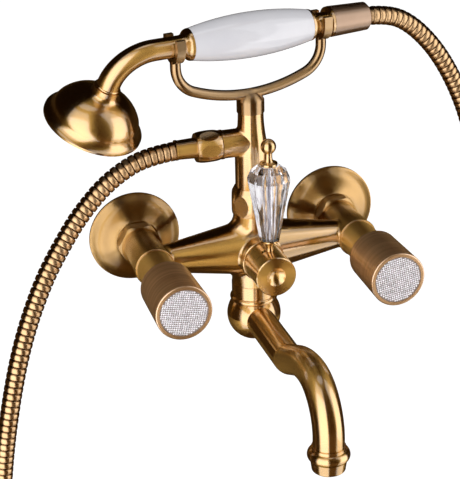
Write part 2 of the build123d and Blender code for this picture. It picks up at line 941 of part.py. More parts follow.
crystal_level = Plane(origin=lever_section.origin, x_dir=rightward, z_dir=upward)
crystal_outline = (
    (cup_top, crystal_foot_r),
    (crystal_wide_height, crystal_wide_r),
    (crystal_shoulder_height, crystal_shoulder_r),
    (crystal_top, crystal_top_r),
)
with BuildPart() as lever_crystal:
    for height, radius in crystal_outline:
        with BuildSketch(crystal_level.offset(height)):
            RegularPolygon(radius, crystal_sides)
    loft(ruled=True)
    with BuildSketch(crystal_level.offset(cup_top - overrun)):
        Circle(crystal_bore_r)
    extrude(amount=crystal_top, mode=Mode.SUBTRACT)
lever_crystal.part.label = "lever_crystal"
export_step(lever_crystal.part, "parts/lever_crystal.step")

with BuildPart() as lever_finial:
    with BuildSketch(lever_section):
        with BuildLine():
            ball_foot = finial_ball_height - sqrt(finial_ball_r**2 - finial_neck_r**2)
            Polyline(
                (0, finial_ball_height + finial_ball_r),
                (0, crystal_top + finial_thread_depth),
                (lever_rod_r + fixed_gap, crystal_top + finial_thread_depth),
                (lever_rod_r + fixed_gap, crystal_top),
                (finial_foot_r, crystal_top),
                (finial_foot_r, finial_foot_height),
            )
            Spline(
                (finial_foot_r, finial_foot_height),
                (finial_neck_r, finial_neck_height),
                tangents=((-1, 0), (0, 1)),
            )
            Line((finial_neck_r, finial_neck_height), (finial_neck_r, ball_foot))
            ThreePointArc(
                (finial_neck_r, ball_foot),
                (finial_ball_r, finial_ball_height),
                (0, finial_ball_height + finial_ball_r),
            )
        make_face()
    revolve(axis=lever_axis)
lever_finial.part.label = "lever_finial"
export_step(lever_finial.part, "parts/lever_finial.step")

# Shower column with its outlet branch to the left
column_foot = top_thread_end + washer_thickness
clip_height = column_nut_floor - clip_thickness
branch_section = Plane(
    origin=centre + upward * branch_height, x_dir=rightward * -1, z_dir=outward * -1
)
branch_axis = Axis(branch_section.origin, rightward)
with BuildPart() as shower_column:
    with BuildSketch(column_section):
        with BuildLine():
            Polyline(
                (0, column_foot),
                (column_r, column_foot),
                (column_r, clip_height - fixed_gap),
                (column_r - clip_depth, clip_height - fixed_gap),
                (column_r - clip_depth, column_nut_floor),
                (column_r, column_nut_floor),
                (column_r, column_straight_end),
            )
            Spline(
                (column_r, column_straight_end),
                (column_waist_r, column_waist_height),
                (column_top_r, column_top),
                tangents=((0, 1), (0, 1)),
            )
            Polyline(
                (column_top_r, column_top),
                (column_spigot_r, column_top),
                (column_spigot_r, column_top + column_spigot_length),
                (0, column_top + column_spigot_length),
                (0, column_foot),
            )
        make_face()
    revolve(axis=column_axis)
    with BuildSketch(Plane(origin=branch_section.origin, x_dir=outward, z_dir=rightward * -1)):
        Circle(branch_r)
    extrude(amount=branch_reach)
    branch_edges = shower_column.edges(Select.NEW).filter_by(
        lambda edge: edge.center().X > -branch_reach + overrun
    )
    fillet(branch_edges, branch_fillet_r)
    with BuildSketch(branch_section):
        Polygon(
            (branch_reach, 0),
            (branch_reach, branch_ring_r),
            (branch_reach + branch_ring_length, branch_ring_r),
            (branch_reach + branch_ring_length, outlet_thread_r),
            (outlet_thread_end, outlet_thread_r),
            (outlet_thread_end, 0),
            align=None,
        )
    revolve(axis=branch_axis)
    with BuildSketch(Plane(origin=branch_section.origin, x_dir=outward, z_dir=rightward * -1)):
        Circle(branch_bore_r)
    extrude(amount=outlet_thread_end + overrun, mode=Mode.SUBTRACT)
    with BuildSketch(column_level.offset(column_foot - overrun)):
        Circle(column_bore_r)
    extrude(amount=column_bore_top - column_foot + overrun, mode=Mode.SUBTRACT)
shower_column.part.label = "shower_column"
export_step(shower_column.part, "parts/shower_column.step")

with BuildPart() as column_washer:
    with BuildSketch(column_level.offset(top_thread_end)):
        Circle(column_r)
        Circle(upper_bore_r, mode=Mode.SUBTRACT)
    extrude(amount=washer_thickness)
column_washer.part.label = "column_washer"
export_step(column_washer.part, "parts/column_washer.step")

with BuildPart() as column_clip:
    with BuildSketch(column_level.offset(clip_height)):
        Circle(clip_r)
        Circle(column_r - clip_depth + fixed_gap, mode=Mode.SUBTRACT)
        with Locations((0, clip_r)):
            Rectangle(clip_r, clip_r, mode=Mode.SUBTRACT)
    extrude(amount=clip_thickness)
column_clip.part.label = "column_clip"
export_step(column_clip.part, "parts/column_clip.step")

# Barrel nut with six oval flats between the body and the column
with BuildPart() as column_nut:
    with BuildSketch(column_section):
        with BuildLine():
            ThreePointArc(
                (column_nut_bottom_r, neck_top + fixed_gap),
                (column_nut_r, (neck_top + column_nut_edge) / 2),
                (column_nut_edge_r, column_nut_edge),
            )
            Polyline(
                (column_nut_edge_r, column_nut_edge),
                (column_nut_top_r, column_nut_top),
                (column_r + fixed_gap, column_nut_top),
                (column_r + fixed_gap, column_nut_floor),
                (top_thread_r + fixed_gap, column_nut_floor),
                (top_thread_r + fixed_gap, neck_top + fixed_gap),
                (column_nut_bottom_r, neck_top + fixed_gap),
            )
        make_face()
    revolve(axis=column_axis)
    with BuildSketch(column_level.offset(neck_top)):
        RegularPolygon(
            column_nut_flats * flats_share, nut_sides, major_radius=False, rotation=column_nut_turn
        )
    extrude(amount=column_nut_top - neck_top, mode=Mode.INTERSECT)
column_nut.part.label = "column_nut"
export_step(column_nut.part, "parts/column_nut.step")

# Hose nut, washer and crimped ferrule on the branch
branch_face = Plane(origin=branch_section.origin, x_dir=outward, z_dir=rightward * -1)
washer_end = outlet_thread_end + washer_thickness
with BuildPart() as hose_nut:
    with BuildSketch(branch_section):
        with BuildLine():
            ThreePointArc(
                (hose_nut_start, hose_nut_end_r),
                ((hose_nut_start + hose_nut_end) / 2, hose_nut_r),
                (hose_nut_end, hose_nut_end_r),
            )
            Polyline(
                (hose_nut_end, hose_nut_end_r),
                (hose_nut_end, ferrule_root_r + fixed_gap),
                (hose_nut_end - hose_nut_floor, ferrule_root_r + fixed_gap),
                (hose_nut_end - hose_nut_floor, outlet_thread_r + fixed_gap),
                (hose_nut_start, outlet_thread_r + fixed_gap),
                (hose_nut_start, hose_nut_end_r),
            )
        make_face()
    revolve(axis=branch_axis)
    with BuildSketch(branch_face.offset(hose_nut_start)):
        RegularPolygon(
            hose_nut_flats * flats_share,
            nut_sides,
            major_radius=False,
            rotation=degrees(asin(flats_share)),
        )
    extrude(amount=hose_nut_end - hose_nut_start, mode=Mode.INTERSECT)
hose_nut.part.label = "hose_nut"
export_step(hose_nut.part, "parts/hose_nut.step")

with BuildPart() as outlet_washer:
    with BuildSketch(branch_face.offset(outlet_thread_end)):
        Circle(ferrule_flange_r)
        Circle(hose_washer_hole_r, mode=Mode.SUBTRACT)
    extrude(amount=washer_thickness)
outlet_washer.part.label = "outlet_washer"
export_step(outlet_washer.part, "parts/outlet_washer.step")

with BuildPart() as outlet_ferrule:
    with BuildSketch(branch_section):
        Polygon(
            (washer_end, hose_bore_r),
            (washer_end, ferrule_flange_r),
            (washer_end + ferrule_flange_length, ferrule_flange_r),
            (washer_end + ferrule_flange_length, ferrule_root_r),
            (hose_nut_end, ferrule_root_r),
            (ferrule_end - ferrule_ring_length, ferrule_r),
            (ferrule_end - ferrule_ring_length, ferrule_ring_r),
            (ferrule_end, ferrule_ring_r),
            (ferrule_end, hose_end_r + fixed_gap),
            (hose_nut_end, hose_end_r + fixed_gap),
            (hose_nut_end, hose_bore_r),
            align=None,
        )
    revolve(axis=branch_axis)
outlet_ferrule.part.label = "outlet_ferrule"
export_step(outlet_ferrule.part, "parts/outlet_ferrule.step")

# Round collar that holds the spout neck under the body
with BuildPart() as spout_collar:
    with BuildSketch(column_section):
        with BuildLine():
            Polyline(
                (spigot_r + fixed_gap, collar_top),
                (collar_r, collar_top),
                (collar_r, collar_neck_height),
            )
            ThreePointArc(
                (collar_r, collar_neck_height),
                (collar_bead_r, collar_bead_height),
                (collar_r, collar_bottom),
            )
            Polyline(
                (collar_r, collar_bottom),
                (swivel_r + running_gap, collar_bottom),
                (swivel_r + running_gap, collar_floor),
                (spigot_r + fixed_gap, collar_floor),
                (spigot_r + fixed_gap, collar_top),
            )
        make_face()
    revolve(axis=column_axis)
spout_collar.part.label = "spout_collar"
export_step(spout_collar.part, "parts/spout_collar.step")

# Spout: swivel neck, hollow ball and the swan-necked tube
spout_section = wall_section(0, axis_rise)
with BuildLine(spout_section) as spout_line:
    run = Line((hub_reach, ball_height), (hub_reach + spout_run, ball_height))
    rise = JernArc(run @ 1, run % 1, spout_rise_radius, spout_rise_angle)
    climb = Line(rise @ 1, (rise @ 1) + (rise % 1) * spout_rise_run)
    hump = JernArc(climb @ 1, climb % 1, spout_hump_radius, -spout_rise_angle)
    bend = JernArc(hump @ 1, hump % 1, spout_bend_radius, -right_angle)
    drop = Line(bend @ 1, (bend @ 1) - upward * spout_drop)
spout_end = drop @ 1
ball_top = collar_bottom - face_gap
swivel_groove = seal_wire_r + fixed_gap
with BuildPart() as spout:
    with BuildSketch(Plane(origin=run @ 0, z_dir=outward)):
        Circle(spout_r)
    sweep(path=spout_line.wires()[0])
    with BuildSketch(column_section):
        with BuildLine():
            ball_cut_r = sqrt(ball_r**2 - (ball_top - ball_height) ** 2)
            ThreePointArc(
                (ball_cut_r, ball_top), (ball_r, ball_height), (0, ball_height - ball_r)
            )
            Polyline(
                (0, ball_height - ball_r),
                (0, swivel_top),
                (swivel_r, swivel_top),
                (swivel_r, seal_height + swivel_groove),
                (swivel_r - swivel_groove - swivel_groove, seal_height + swivel_groove),
                (swivel_r - swivel_groove - swivel_groove, seal_height - swivel_groove),
                (swivel_r, seal_height - swivel_groove),
                (swivel_r, collar_floor + clip_thickness + fixed_gap),
                (swivel_r - clip_depth, collar_floor + clip_thickness + fixed_gap),
                (swivel_r - clip_depth, collar_floor),
                (swivel_r, collar_floor),
                (swivel_r, ball_top),
                (ball_cut_r, ball_top),
            )
        make_face()
    revolve(axis=column_axis)
    with BuildSketch(column_section):
        with BuildLine():
            hollow_r = ball_r - ball_wall
            hollow_top = ball_top - ball_wall
            hollow_top_r = sqrt(hollow_r**2 - (hollow_top - ball_height) ** 2)
            ThreePointArc(
                (hollow_top_r, hollow_top), (hollow_r, ball_height), (0, ball_height - hollow_r)
            )
            Polyline(
                (0, ball_height - hollow_r),
                (0, swivel_top + overrun),
                (swivel_bore_r, swivel_top + overrun),
                (swivel_bore_r, hollow_top),
                (hollow_top_r, hollow_top),
            )
        make_face()
    revolve(axis=column_axis, mode=Mode.SUBTRACT)
    with BuildSketch(Plane(origin=run @ 0, z_dir=outward)):
        Circle(spout_bore_r)
    sweep(path=spout_line.wires()[0], mode=Mode.SUBTRACT)
spout.part.label = "spout"
export_step(spout.part, "parts/spout.step")

with BuildPart() as spout_seal:
    with BuildSketch(column_section):
        with Locations((swivel_r - swivel_groove, seal_height)):
            Circle(seal_wire_r)
    revolve(axis=column_axis)
spout_seal.part.label = "spout_seal"
export_step(spout_seal.part, "parts/spout_seal.step")

with BuildPart() as spout_clip:
    with BuildSketch(column_level.offset(collar_floor + fixed_gap)):
        Circle(spout_clip_r)
        Circle(swivel_r - clip_depth + fixed_gap, mode=Mode.SUBTRACT)
        with Locations((0, spout_clip_r)):
            Rectangle(spout_clip_r, spout_clip_r, mode=Mode.SUBTRACT)
    extrude(amount=clip_thickness - fixed_gap)
spout_clip.part.label = "spout_clip"
export_step(spout_clip.part, "parts/spout_clip.step")

# Outlet ring on the end of the spout, with the flow straightener inside
outlet_section = Plane(origin=spout_end, x_dir=outward, z_dir=rightward * -1)
outlet_axis = Axis(spout_end, upward)
ring_top = outlet_socket - outlet_step
ring_bottom = ring_top - outlet_ring_length
outlet_bottom = outlet_socket - outlet_length
with BuildPart() as outlet_ring:
    with BuildSketch(outlet_section):
        with BuildLine():
            Polyline(
                (spout_r + fixed_gap, 0),
                (spout_r + fixed_gap, outlet_socket),
                (outlet_top_r, outlet_socket),
                (outlet_top_r, ring_top),
            )
            ThreePointArc(
                (outlet_top_r, ring_top),
                (outlet_r, (ring_top + ring_bottom) / 2),
                (outlet_waist_r, ring_bottom),
            )
            Line((outlet_waist_r, ring_bottom), (outlet_lip_r, outlet_bottom + outlet_edge))
            ThreePointArc(
                (outlet_lip_r, outlet_bottom + outlet_edge),
                (outlet_lip_r - outlet_edge / 4, outlet_bottom + outlet_edge / 4),
                (outlet_lip_r - outlet_edge, outlet_bottom),
            )
            Polyline(
                (outlet_lip_r - outlet_edge, outlet_bottom),
                (outlet_mouth_r, outlet_bottom),
                (outlet_mouth_r, 0),
                (spout_r + fixed_gap, 0),
            )
        make_face()
    revolve(axis=outlet_axis)
outlet_ring.part.label = "outlet_ring"
export_step(outlet_ring.part, "parts/outlet_ring.step")

with BuildPart() as aerator:
    with BuildSketch(Plane(origin=spout_end - upward * clear_gap, z_dir=upward * -1)):
        Circle(outlet_mouth_r - fixed_gap)
        Circle(aerator_hole_r, mode=Mode.SUBTRACT)
        with PolarLocations(aerator_hole_offset, aerator_holes):
            Circle(aerator_hole_r, mode=Mode.SUBTRACT)
    extrude(amount=aerator_length)
aerator.part.label = "aerator"
export_step(aerator.part, "parts/aerator.step")

# Cradle: sleeve on the column, bowed bar and two forks
handle_along = rightward.rotate(Axis.Z, handset_turn)
handle_out = outward.rotate(Axis.Z, handset_turn)
cradle_section = Plane(origin=centre, x_dir=handle_along, z_dir=handle_out)
cradle_half_span = grip_half_length + fork_offset
bow_height = cradle_bottom + cradle_bow_radius
corner_across = cradle_half_span - cradle_corner_radius
corner_span = cradle_bow_radius - cradle_corner_radius
bow_angle = degrees(asin(corner_across / corner_span))
corner_height = bow_height - sqrt(corner_span**2 - corner_across**2)
fork_bottom = handset_height - fork_inner_r - fork_wall
with BuildLine(cradle_section) as cradle_line:
    CenterArc((0, bow_height), cradle_bow_radius, -right_angle, bow_angle)
    CenterArc(
        (corner_across, corner_height),
        cradle_corner_radius,
        bow_angle - right_angle,
        right_angle - bow_angle,
    )
    Line((cradle_half_span, corner_height), (cradle_half_span, fork_bottom + fork_wall / 2))
with BuildPart() as cradle:
    with BuildSketch(Plane(origin=cradle_line.wires()[0] @ 0, z_dir=handle_along)):
        Circle(cradle_bar_r)
    sweep(path=cradle_line.wires()[0])
    fork_centre = cradle_section.from_local_coords((cradle_half_span, handset_height))
    with BuildSketch(Plane(origin=fork_centre, x_dir=handle_out * -1, z_dir=handle_along)):
        fork_outer_r = fork_inner_r + fork_wall
        Circle(fork_outer_r)
        with Locations((0, fork_tip / 2)):
            Rectangle(fork_outer_r + fork_outer_r, fork_tip)
        with Locations((0, fork_outer_r + fork_tip)):
            Rectangle(fork_outer_r + fork_outer_r, fork_outer_r + fork_outer_r, mode=Mode.SUBTRACT)
        Circle(fork_inner_r, mode=Mode.SUBTRACT)
        with Locations((0, fork_tip)):
            Rectangle(fork_inner_r + fork_inner_r, fork_tip + fork_tip, mode=Mode.SUBTRACT)
    extrude(amount=fork_width / 2, both=True)
    mirror(about=Plane(origin=centre, z_dir=handle_along))
    with BuildSketch(cradle_section):
        with BuildLine():
            Polyline(
                (0, column_top),
                (cradle_sleeve_r, column_top),
                (cradle_sleeve_r, cradle_sleeve_top),
            )
            ThreePointArc(
                (cradle_sleeve_r, cradle_sleeve_top),
                (
                    (cradle_sleeve_r + cradle_dome_r) / 2 + cradle_dome_bulge,
                    (cradle_sleeve_top + cradle_dome_top) / 2 + cradle_dome_bulge,
                ),
                (cradle_dome_r, cradle_dome_top),
            )
            Polyline((cradle_dome_r, cradle_dome_top), (0, cradle_dome_top), (0, column_top))
        make_face()
    revolve(axis=column_axis)
    with BuildSketch(column_level.offset(column_top)):
        Circle(column_spigot_r + fixed_gap)
    extrude(amount=column_spigot_length + clear_gap, mode=Mode.SUBTRACT)
    with BuildSketch(
        Plane(origin=cradle_section.from_local_coords((0, cradle_screw_height)), z_dir=handle_out * -1)
    ):
        Circle(cradle_screw_r + fixed_gap)
    extrude(amount=cradle_sleeve_r + overrun, mode=Mode.SUBTRACT)
cradle.part.label = "cradle"
export_step(cradle.part, "parts/cradle.step")

screw_start = column_spigot_r + fixed_gap
with BuildPart() as cradle_screw:
    with BuildSketch(
        Plane(
            origin=cradle_section.from_local_coords((0, cradle_screw_height)), z_dir=handle_out * -1
        ).offset(screw_start)
    ):
        Circle(cradle_screw_r)
    extrude(amount=cradle_sleeve_r - screw_start)
cradle_screw.part.label = "cradle_screw"
export_step(cradle_screw.part, "parts/cradle_screw.step")

# Handset: the arm with its cap on the grip, the bend and the neck for the head
core_start = grip_half_length + core_arm_depth
core_end = grip_half_length + core_cap_depth
arm_cap_end = grip_half_length + arm_cap_length
arm_straight_end = arm_cap_end + arm_straight_run
handset_section = Plane(
    origin=centre + upward * handset_height, x_dir=handle_along, z_dir=handle_out
)
handset_axis = Axis(handset_section.origin, handle_along)
arm_section = Plane(
    origin=handset_section.origin,
    x_dir=handle_along,
    z_dir=handle_out.rotate(Axis((0, 0, 0), handle_along), head_roll),
)
with BuildLine(arm_section) as arm_line:
    arm_run = Line((-arm_cap_end, 0), (-arm_straight_end, 0))
    arm_bend = JernArc(arm_run @ 1, arm_run % 1, arm_bend_radius, arm_bend_angle)
    arm_tail = Line(arm_bend @ 1, (arm_bend @ 1) + (arm_bend % 1) * arm_neck_run)
neck_end = arm_tail @ 1
head_down = arm_tail % 1
head_section = Plane(
    origin=neck_end + head_down * head_neck_height,
    x_dir=arm_section.z_dir.cross(head_down),
    z_dir=arm_section.z_dir,
)
head_axis = Axis(head_section.origin, head_down * -1)
with BuildPart() as handset_arm:
    with BuildSketch(Plane(origin=arm_run @ 0, z_dir=handle_along * -1)):
        Circle(arm_r)
    extrude(amount=arm_straight_end - arm_cap_end)
    with BuildSketch(Plane(origin=arm_bend @ 0, z_dir=arm_bend % 0)):
        Circle(arm_r)
    with BuildSketch(Plane(origin=arm_bend @ 1, z_dir=arm_bend % 1)):
        Circle(arm_end_r)
    sweep(path=arm_bend, multisection=True)
    with BuildSketch(Plane(origin=arm_bend @ 1, z_dir=arm_bend % 1)):
        Circle(arm_end_r)
    extrude(amount=arm_neck_run - face_gap)
    with BuildSketch(handset_section):
        with BuildLine():
            Line((-grip_half_length, 0), (-grip_half_length, grip_end_r))
            Spline(
                (-grip_half_length, grip_end_r),
                (-grip_half_length - arm_cap_crest, arm_cap_r),
                (-arm_cap_end, arm_r),
                tangents=((-1, 0), (-1, 0)),
            )
            Polyline((-arm_cap_end, arm_r), (-arm_cap_end, 0), (-grip_half_length, 0))
        make_face()
    revolve(axis=handset_axis)
    with BuildSketch(head_section):
        with BuildLine():
            stub_bottom = head_neck_height - arm_thread_length
            ring_start = head_neck_height + face_gap
            ring_stop = ring_start + arm_ring_length
            Polyline(
                (0, ring_stop), (0, stub_bottom), (arm_thread_r, stub_bottom), (arm_thread_r, ring_start)
            )
            Line((arm_thread_r, ring_start), (arm_end_r, ring_start))
            ThreePointArc(
                (arm_end_r, ring_start), (arm_ring_r, (ring_start + ring_stop) / 2), (arm_end_r, ring_stop)
            )
            Line((arm_end_r, ring_stop), (0, ring_stop))
        make_face()
    revolve(axis=head_axis)
    with BuildSketch(Plane(origin=arm_run @ 0, z_dir=handle_along * -1)):
        Circle(arm_r - arm_wall)
    sweep(path=arm_line.wires()[0], mode=Mode.SUBTRACT)
    cap_mouth = handset_section.from_local_coords((overrun - grip_half_length, 0))
    with BuildSketch(Plane(origin=cap_mouth, z_dir=handle_along * -1)):
        Circle(core_r + fixed_gap)
    extrude(amount=arm_cap_end - grip_half_length + overrun, mode=Mode.SUBTRACT)
    with BuildSketch(Plane(origin=neck_end - head_down * overrun, z_dir=head_down)):
        Circle(arm_thread_bore_r)
    extrude(amount=arm_thread_length + overrun + overrun, mode=Mode.SUBTRACT)
handset_arm.part.label = "handset_arm"
export_step(handset_arm.part, "parts/handset_arm.step")

# Bell of the shower head
with BuildPart() as shower_head:
    with BuildSketch(head_section):
        with BuildLine():
            collar_foot = head_neck_height - head_collar_length
            Polyline((face_seat_r, 0), (head_rim_r, 0), (head_rim_r, head_lip))
            ThreePointArc(
                (head_rim_r, head_lip),
                (head_flare_r, head_flare_height),
                (head_waist_r, head_waist_height),
            )
            Spline(
                (head_waist_r, head_waist_height),
                (head_bowl_r, head_bowl_height),
                (head_crown_r, head_crown_height),
                (head_throat_r, head_throat_height),
                (head_collar_r, collar_foot),
                tangents=((0, 1), (-1, 2)),
            )
            Polyline(
                (head_collar_r, collar_foot),
                (head_collar_r, head_neck_height),
                (arm_thread_r + fixed_gap, head_neck_height),
                (arm_thread_r + fixed_gap, collar_foot - head_wall),
            )
            Spline(
                (arm_thread_r + fixed_gap, collar_foot - head_wall),
                (head_throat_r, head_throat_height - head_wall),
                (head_crown_r - head_wall, head_crown_height - head_wall),
                (head_bowl_r - head_wall, head_bowl_height - head_wall),
                (face_seat_r - face_ledge, head_waist_height),
            )
            Polyline(
                (face_seat_r - face_ledge, head_waist_height),
                (face_seat_r - face_ledge, face_seat_height),
                (face_seat_r, face_seat_height),
                (face_seat_r, 0),
            )
        make_face()
    revolve(axis=head_axis)
shower_head.part.label = "shower_head"
export_step(shower_head.part, "parts/shower_head.step")

# Perforated spray face screwed up into the rim against its gasket
head_face = Plane(origin=head_section.origin, x_dir=head_section.x_dir, z_dir=head_down * -1)
with BuildPart() as spray_face:
    with BuildSketch(head_face.offset(face_recess)):
        Circle(face_seat_r - fixed_gap)
        Circle(nozzle_r, mode=Mode.SUBTRACT)
        for ring in range(1, nozzle_rings + 1):
            with PolarLocations(ring * nozzle_ring_step, ring * nozzles_per_ring):
                Circle(nozzle_r, mode=Mode.SUBTRACT)
    extrude(amount=face_thickness)
spray_face.part.label = "spray_face"
export_step(spray_face.part, "parts/spray_face.step")

with BuildPart() as face_gasket:
    with BuildSketch(head_face.offset(face_recess + face_thickness)):
        Circle(face_seat_r - fixed_gap)
        Circle(face_seat_r - face_ledge, mode=Mode.SUBTRACT)
    extrude(amount=face_seat_height - face_recess - face_thickness)
face_gasket.part.label = "face_gasket"
export_step(face_gasket.part, "parts/face_gasket.step")

# Grip: the porcelain barrel on its core tube, between the arm and the end cap
with BuildPart() as handle_core:
    with BuildSketch(handset_section):
        Polygon(
            (-core_start, core_bore_r),
            (-core_start, core_r),
            (core_end, core_r),
            (core_end, core_bore_r),
            align=None,
        )
    revolve(axis=handset_axis)
handle_core.part.label = "handle_core"
export_step(handle_core.part, "parts/handle_core.step")

with BuildPart() as porcelain_grip:
    with BuildSketch(handset_section):
        with BuildLine():
            grip_left = face_gap - grip_half_length
            Line((grip_left, grip_bore_r), (grip_left, grip_end_r))
            ThreePointArc((grip_left, grip_end_r), (0, grip_r), (-grip_left, grip_end_r))
            Polyline(
                (-grip_left, grip_end_r), (-grip_left, grip_bore_r), (grip_left, grip_bore_r)
            )
        make_face()
    revolve(axis=handset_axis)
porcelain_grip.part.label = "porcelain_grip"
export_step(porcelain_grip.part, "parts/porcelain_grip.step")

cap_waist_start = grip_half_length + cap_shoulder
cap_waist_end = cap_waist_start + cap_waist_length
cap_end = cap_waist_end + cap_flare + cap_lip
inlet_thread_end = cap_end + inlet_thread_length
with BuildPart() as grip_cap:
    with BuildSketch(handset_section):
        with BuildLine():
            Line((grip_half_length, core_r + fixed_gap), (grip_half_length, grip_end_r))
            Spline(
                (grip_half_length, grip_end_r),
                (grip_half_length + cap_crest, cap_r),
                (cap_waist_start, cap_waist_r),
                tangents=((1, 0), (1, 0)),
            )
            Polyline(
                (cap_waist_start, cap_waist_r),
                (cap_waist_end, cap_waist_r),
                (cap_end - cap_lip, cap_r),
                (cap_end, cap_r),
                (cap_end, outlet_thread_r),
                (inlet_thread_end, outlet_thread_r),
                (inlet_thread_end, core_bore_r),
                (core_end, core_bore_r),
                (core_end, core_r + fixed_gap),
                (grip_half_length, core_r + fixed_gap),
            )
        make_face()
    revolve(axis=handset_axis)
grip_cap.part.label = "grip_cap"
export_step(grip_cap.part, "parts/grip_cap.step")

# Conical hose nut, washer and crimped ferrule at the handset
cone_nut_start = cap_end + face_gap
cone_nut_end = cap_end + cone_nut_length
inlet_washer_end = inlet_thread_end + washer_thickness
ferrule_flange_end = inlet_washer_end + ferrule_flange_length
hose_end = inlet_washer_end + handset_ferrule_length
with BuildPart() as cone_nut:
    with BuildSketch(handset_section):
        Polygon(
            (cone_nut_start, outlet_thread_r + fixed_gap),
            (cone_nut_start, cone_nut_r),
            (cone_nut_end - cone_nut_chamfer, cone_nut_end_r),
            (cone_nut_end, cone_nut_end_r - cone_nut_chamfer),
            (cone_nut_end, hose_exit_r),
            (ferrule_flange_end + fixed_gap, hose_exit_r),
            (ferrule_flange_end + fixed_gap, outlet_thread_r + fixed_gap),
            align=None,
        )
    revolve(axis=handset_axis)
cone_nut.part.label = "cone_nut"
export_step(cone_nut.part, "parts/cone_nut.step")

handset_washer_face = Plane(
    origin=handset_section.from_local_coords((inlet_thread_end, 0)), z_dir=handle_along
)
with BuildPart() as handset_washer:
    with BuildSketch(handset_washer_face):
        Circle(ferrule_flange_r)
        Circle(hose_washer_hole_r, mode=Mode.SUBTRACT)
    extrude(amount=washer_thickness)
handset_washer.part.label = "handset_washer"
export_step(handset_washer.part, "parts/handset_washer.step")

with BuildPart() as handset_ferrule:
    with BuildSketch(handset_section):
        Polygon(
            (inlet_washer_end, hose_bore_r),
            (inlet_washer_end, ferrule_flange_r),
            (ferrule_flange_end, ferrule_flange_r),
            (ferrule_flange_end, hose_end_r),
            (hose_end, hose_end_r),
            (hose_end, hose_bore_r),
            align=None,
        )
    revolve(axis=handset_axis)
handset_ferrule.part.label = "handset_ferrule"
export_step(handset_ferrule.part, "parts/handset_ferrule.step")


def bend_radii(route):
    """Each corner's arc is as large as the shorter of its two runs allows."""
    radii = []
    for before, corner, after in zip(route, route[1:], route[2:]):
        first = Vector(corner) - Vector(before)
        second = Vector(after) - Vector(corner)
        half_turn = radians(first.get_angle(second) / 2)
        radii.append(arc_share * min(first.length, second.length) / tan(half_turn))
    return radii


def hose_wire(route):
    """Centre line of one stretch of the hose."""
    with BuildLine() as line:
        FilletPolyline(*route, radius=bend_radii(route))
    return line.wires()[0]


def hose_plane(path, reach):
    """Plane square to the path at a length along it."""
    return Plane(
        origin=path.position_at(reach, PositionMode.LENGTH),
        x_dir=outward,
        z_dir=path.tangent_at(reach, PositionMode.LENGTH),
    )


def rib_rings(path, first_run, first_r, last_run, last_r):
    """Lengths along the path and radii of the circles of a ribbed stretch."""
    ribbed = path.length - first_run - last_run
    count = round(ribbed / rib_pitch)
    pitch = ribbed / count
    rings = [(0, first_r), (first_run, first_r)]
    for number in range(count):
        foot = first_run + number * pitch
        rings += [
            (foot + rib_foot_share * pitch, hose_root_r),
            (foot + rib_crest_share * pitch, hose_r),
            (foot + pitch - rib_crest_share * pitch, hose_r),
            (foot + pitch - rib_foot_share * pitch, hose_root_r),
        ]
    return rings + [(path.length - last_run, last_r), (path.length, last_r)]


def middle(first, second):
    """Point halfway between two points of the route."""
    return tuple((Vector(first) + Vector(second)) / 2)


# Hose in three stretches on one route: ribbed, plain where it hangs low, ribbed again
hose_diameter = hose_r + hose_r
left_ends = [
    column_section.from_local_coords((-reach, branch_height))
    for reach in (hose_nut_end, hose_nut_end + hose_first_run)
]
right_ends = [
    handset_section.from_local_coords((reach, 0)) for reach in (hose_end + hose_last_run, hose_end)
]
left_cut = middle(left_route[-1], low_route[0])
right_cut = middle(low_route[-1], right_route[0])
left_wire = hose_wire(left_ends + left_route + [left_cut])
low_wire = hose_wire([left_cut] + low_route + [right_cut])
right_wire = hose_wire([right_cut] + right_route + right_ends)
with BuildPart() as hose_left:
    for reach, radius in rib_rings(
        left_wire, ferrule_end - hose_nut_end, hose_end_r, hose_diameter, hose_r
    ):
        with BuildSketch(hose_plane(left_wire, reach)):
            Circle(radius)
    loft(ruled=True)
    with BuildSketch(hose_plane(left_wire, 0)):
        Circle(hose_bore_r)
    sweep(path=left_wire, mode=Mode.SUBTRACT)
hose_left.part.label = "hose_left"
export_step(hose_left.part, "parts/hose_left.step")

with BuildPart() as hose_low:
    with BuildSketch(hose_plane(low_wire, 0)):
        Circle(hose_r)
        Circle(hose_bore_r, mode=Mode.SUBTRACT)
    sweep(path=low_wire)
hose_low.part.label = "hose_low"
export_step(hose_low.part, "parts/hose_low.step")

with BuildPart() as hose_right:
    for reach, radius in rib_rings(
        right_wire, hose_diameter, hose_r, hose_diameter, hose_end_r
    ):
        with BuildSketch(hose_plane(right_wire, reach)):
            Circle(radius)
    loft(ruled=True)
    with BuildSketch(hose_plane(right_wire, 0)):
        Circle(hose_bore_r)
    sweep(path=right_wire, mode=Mode.SUBTRACT)
hose_right.part.label = "hose_right"
export_step(hose_right.part, "parts/hose_right.step")

whole_route = left_ends + left_route + low_route + right_route + right_ends
print("hose length", round(left_wire.length + low_wire.length + right_wire.length))
print("hose bend radii", [round(radius) for radius in bend_radii(whole_route)])
tube_section = radians(right_angle + right_angle) * (hose_r**2 - hose_bore_r**2)
print("plain tube volume", round(hose_low.part.volume), round(tube_section * low_wire.length))
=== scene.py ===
import random
from math import cos, pi, radians, sin

import bpy
from mathutils import Matrix, Vector


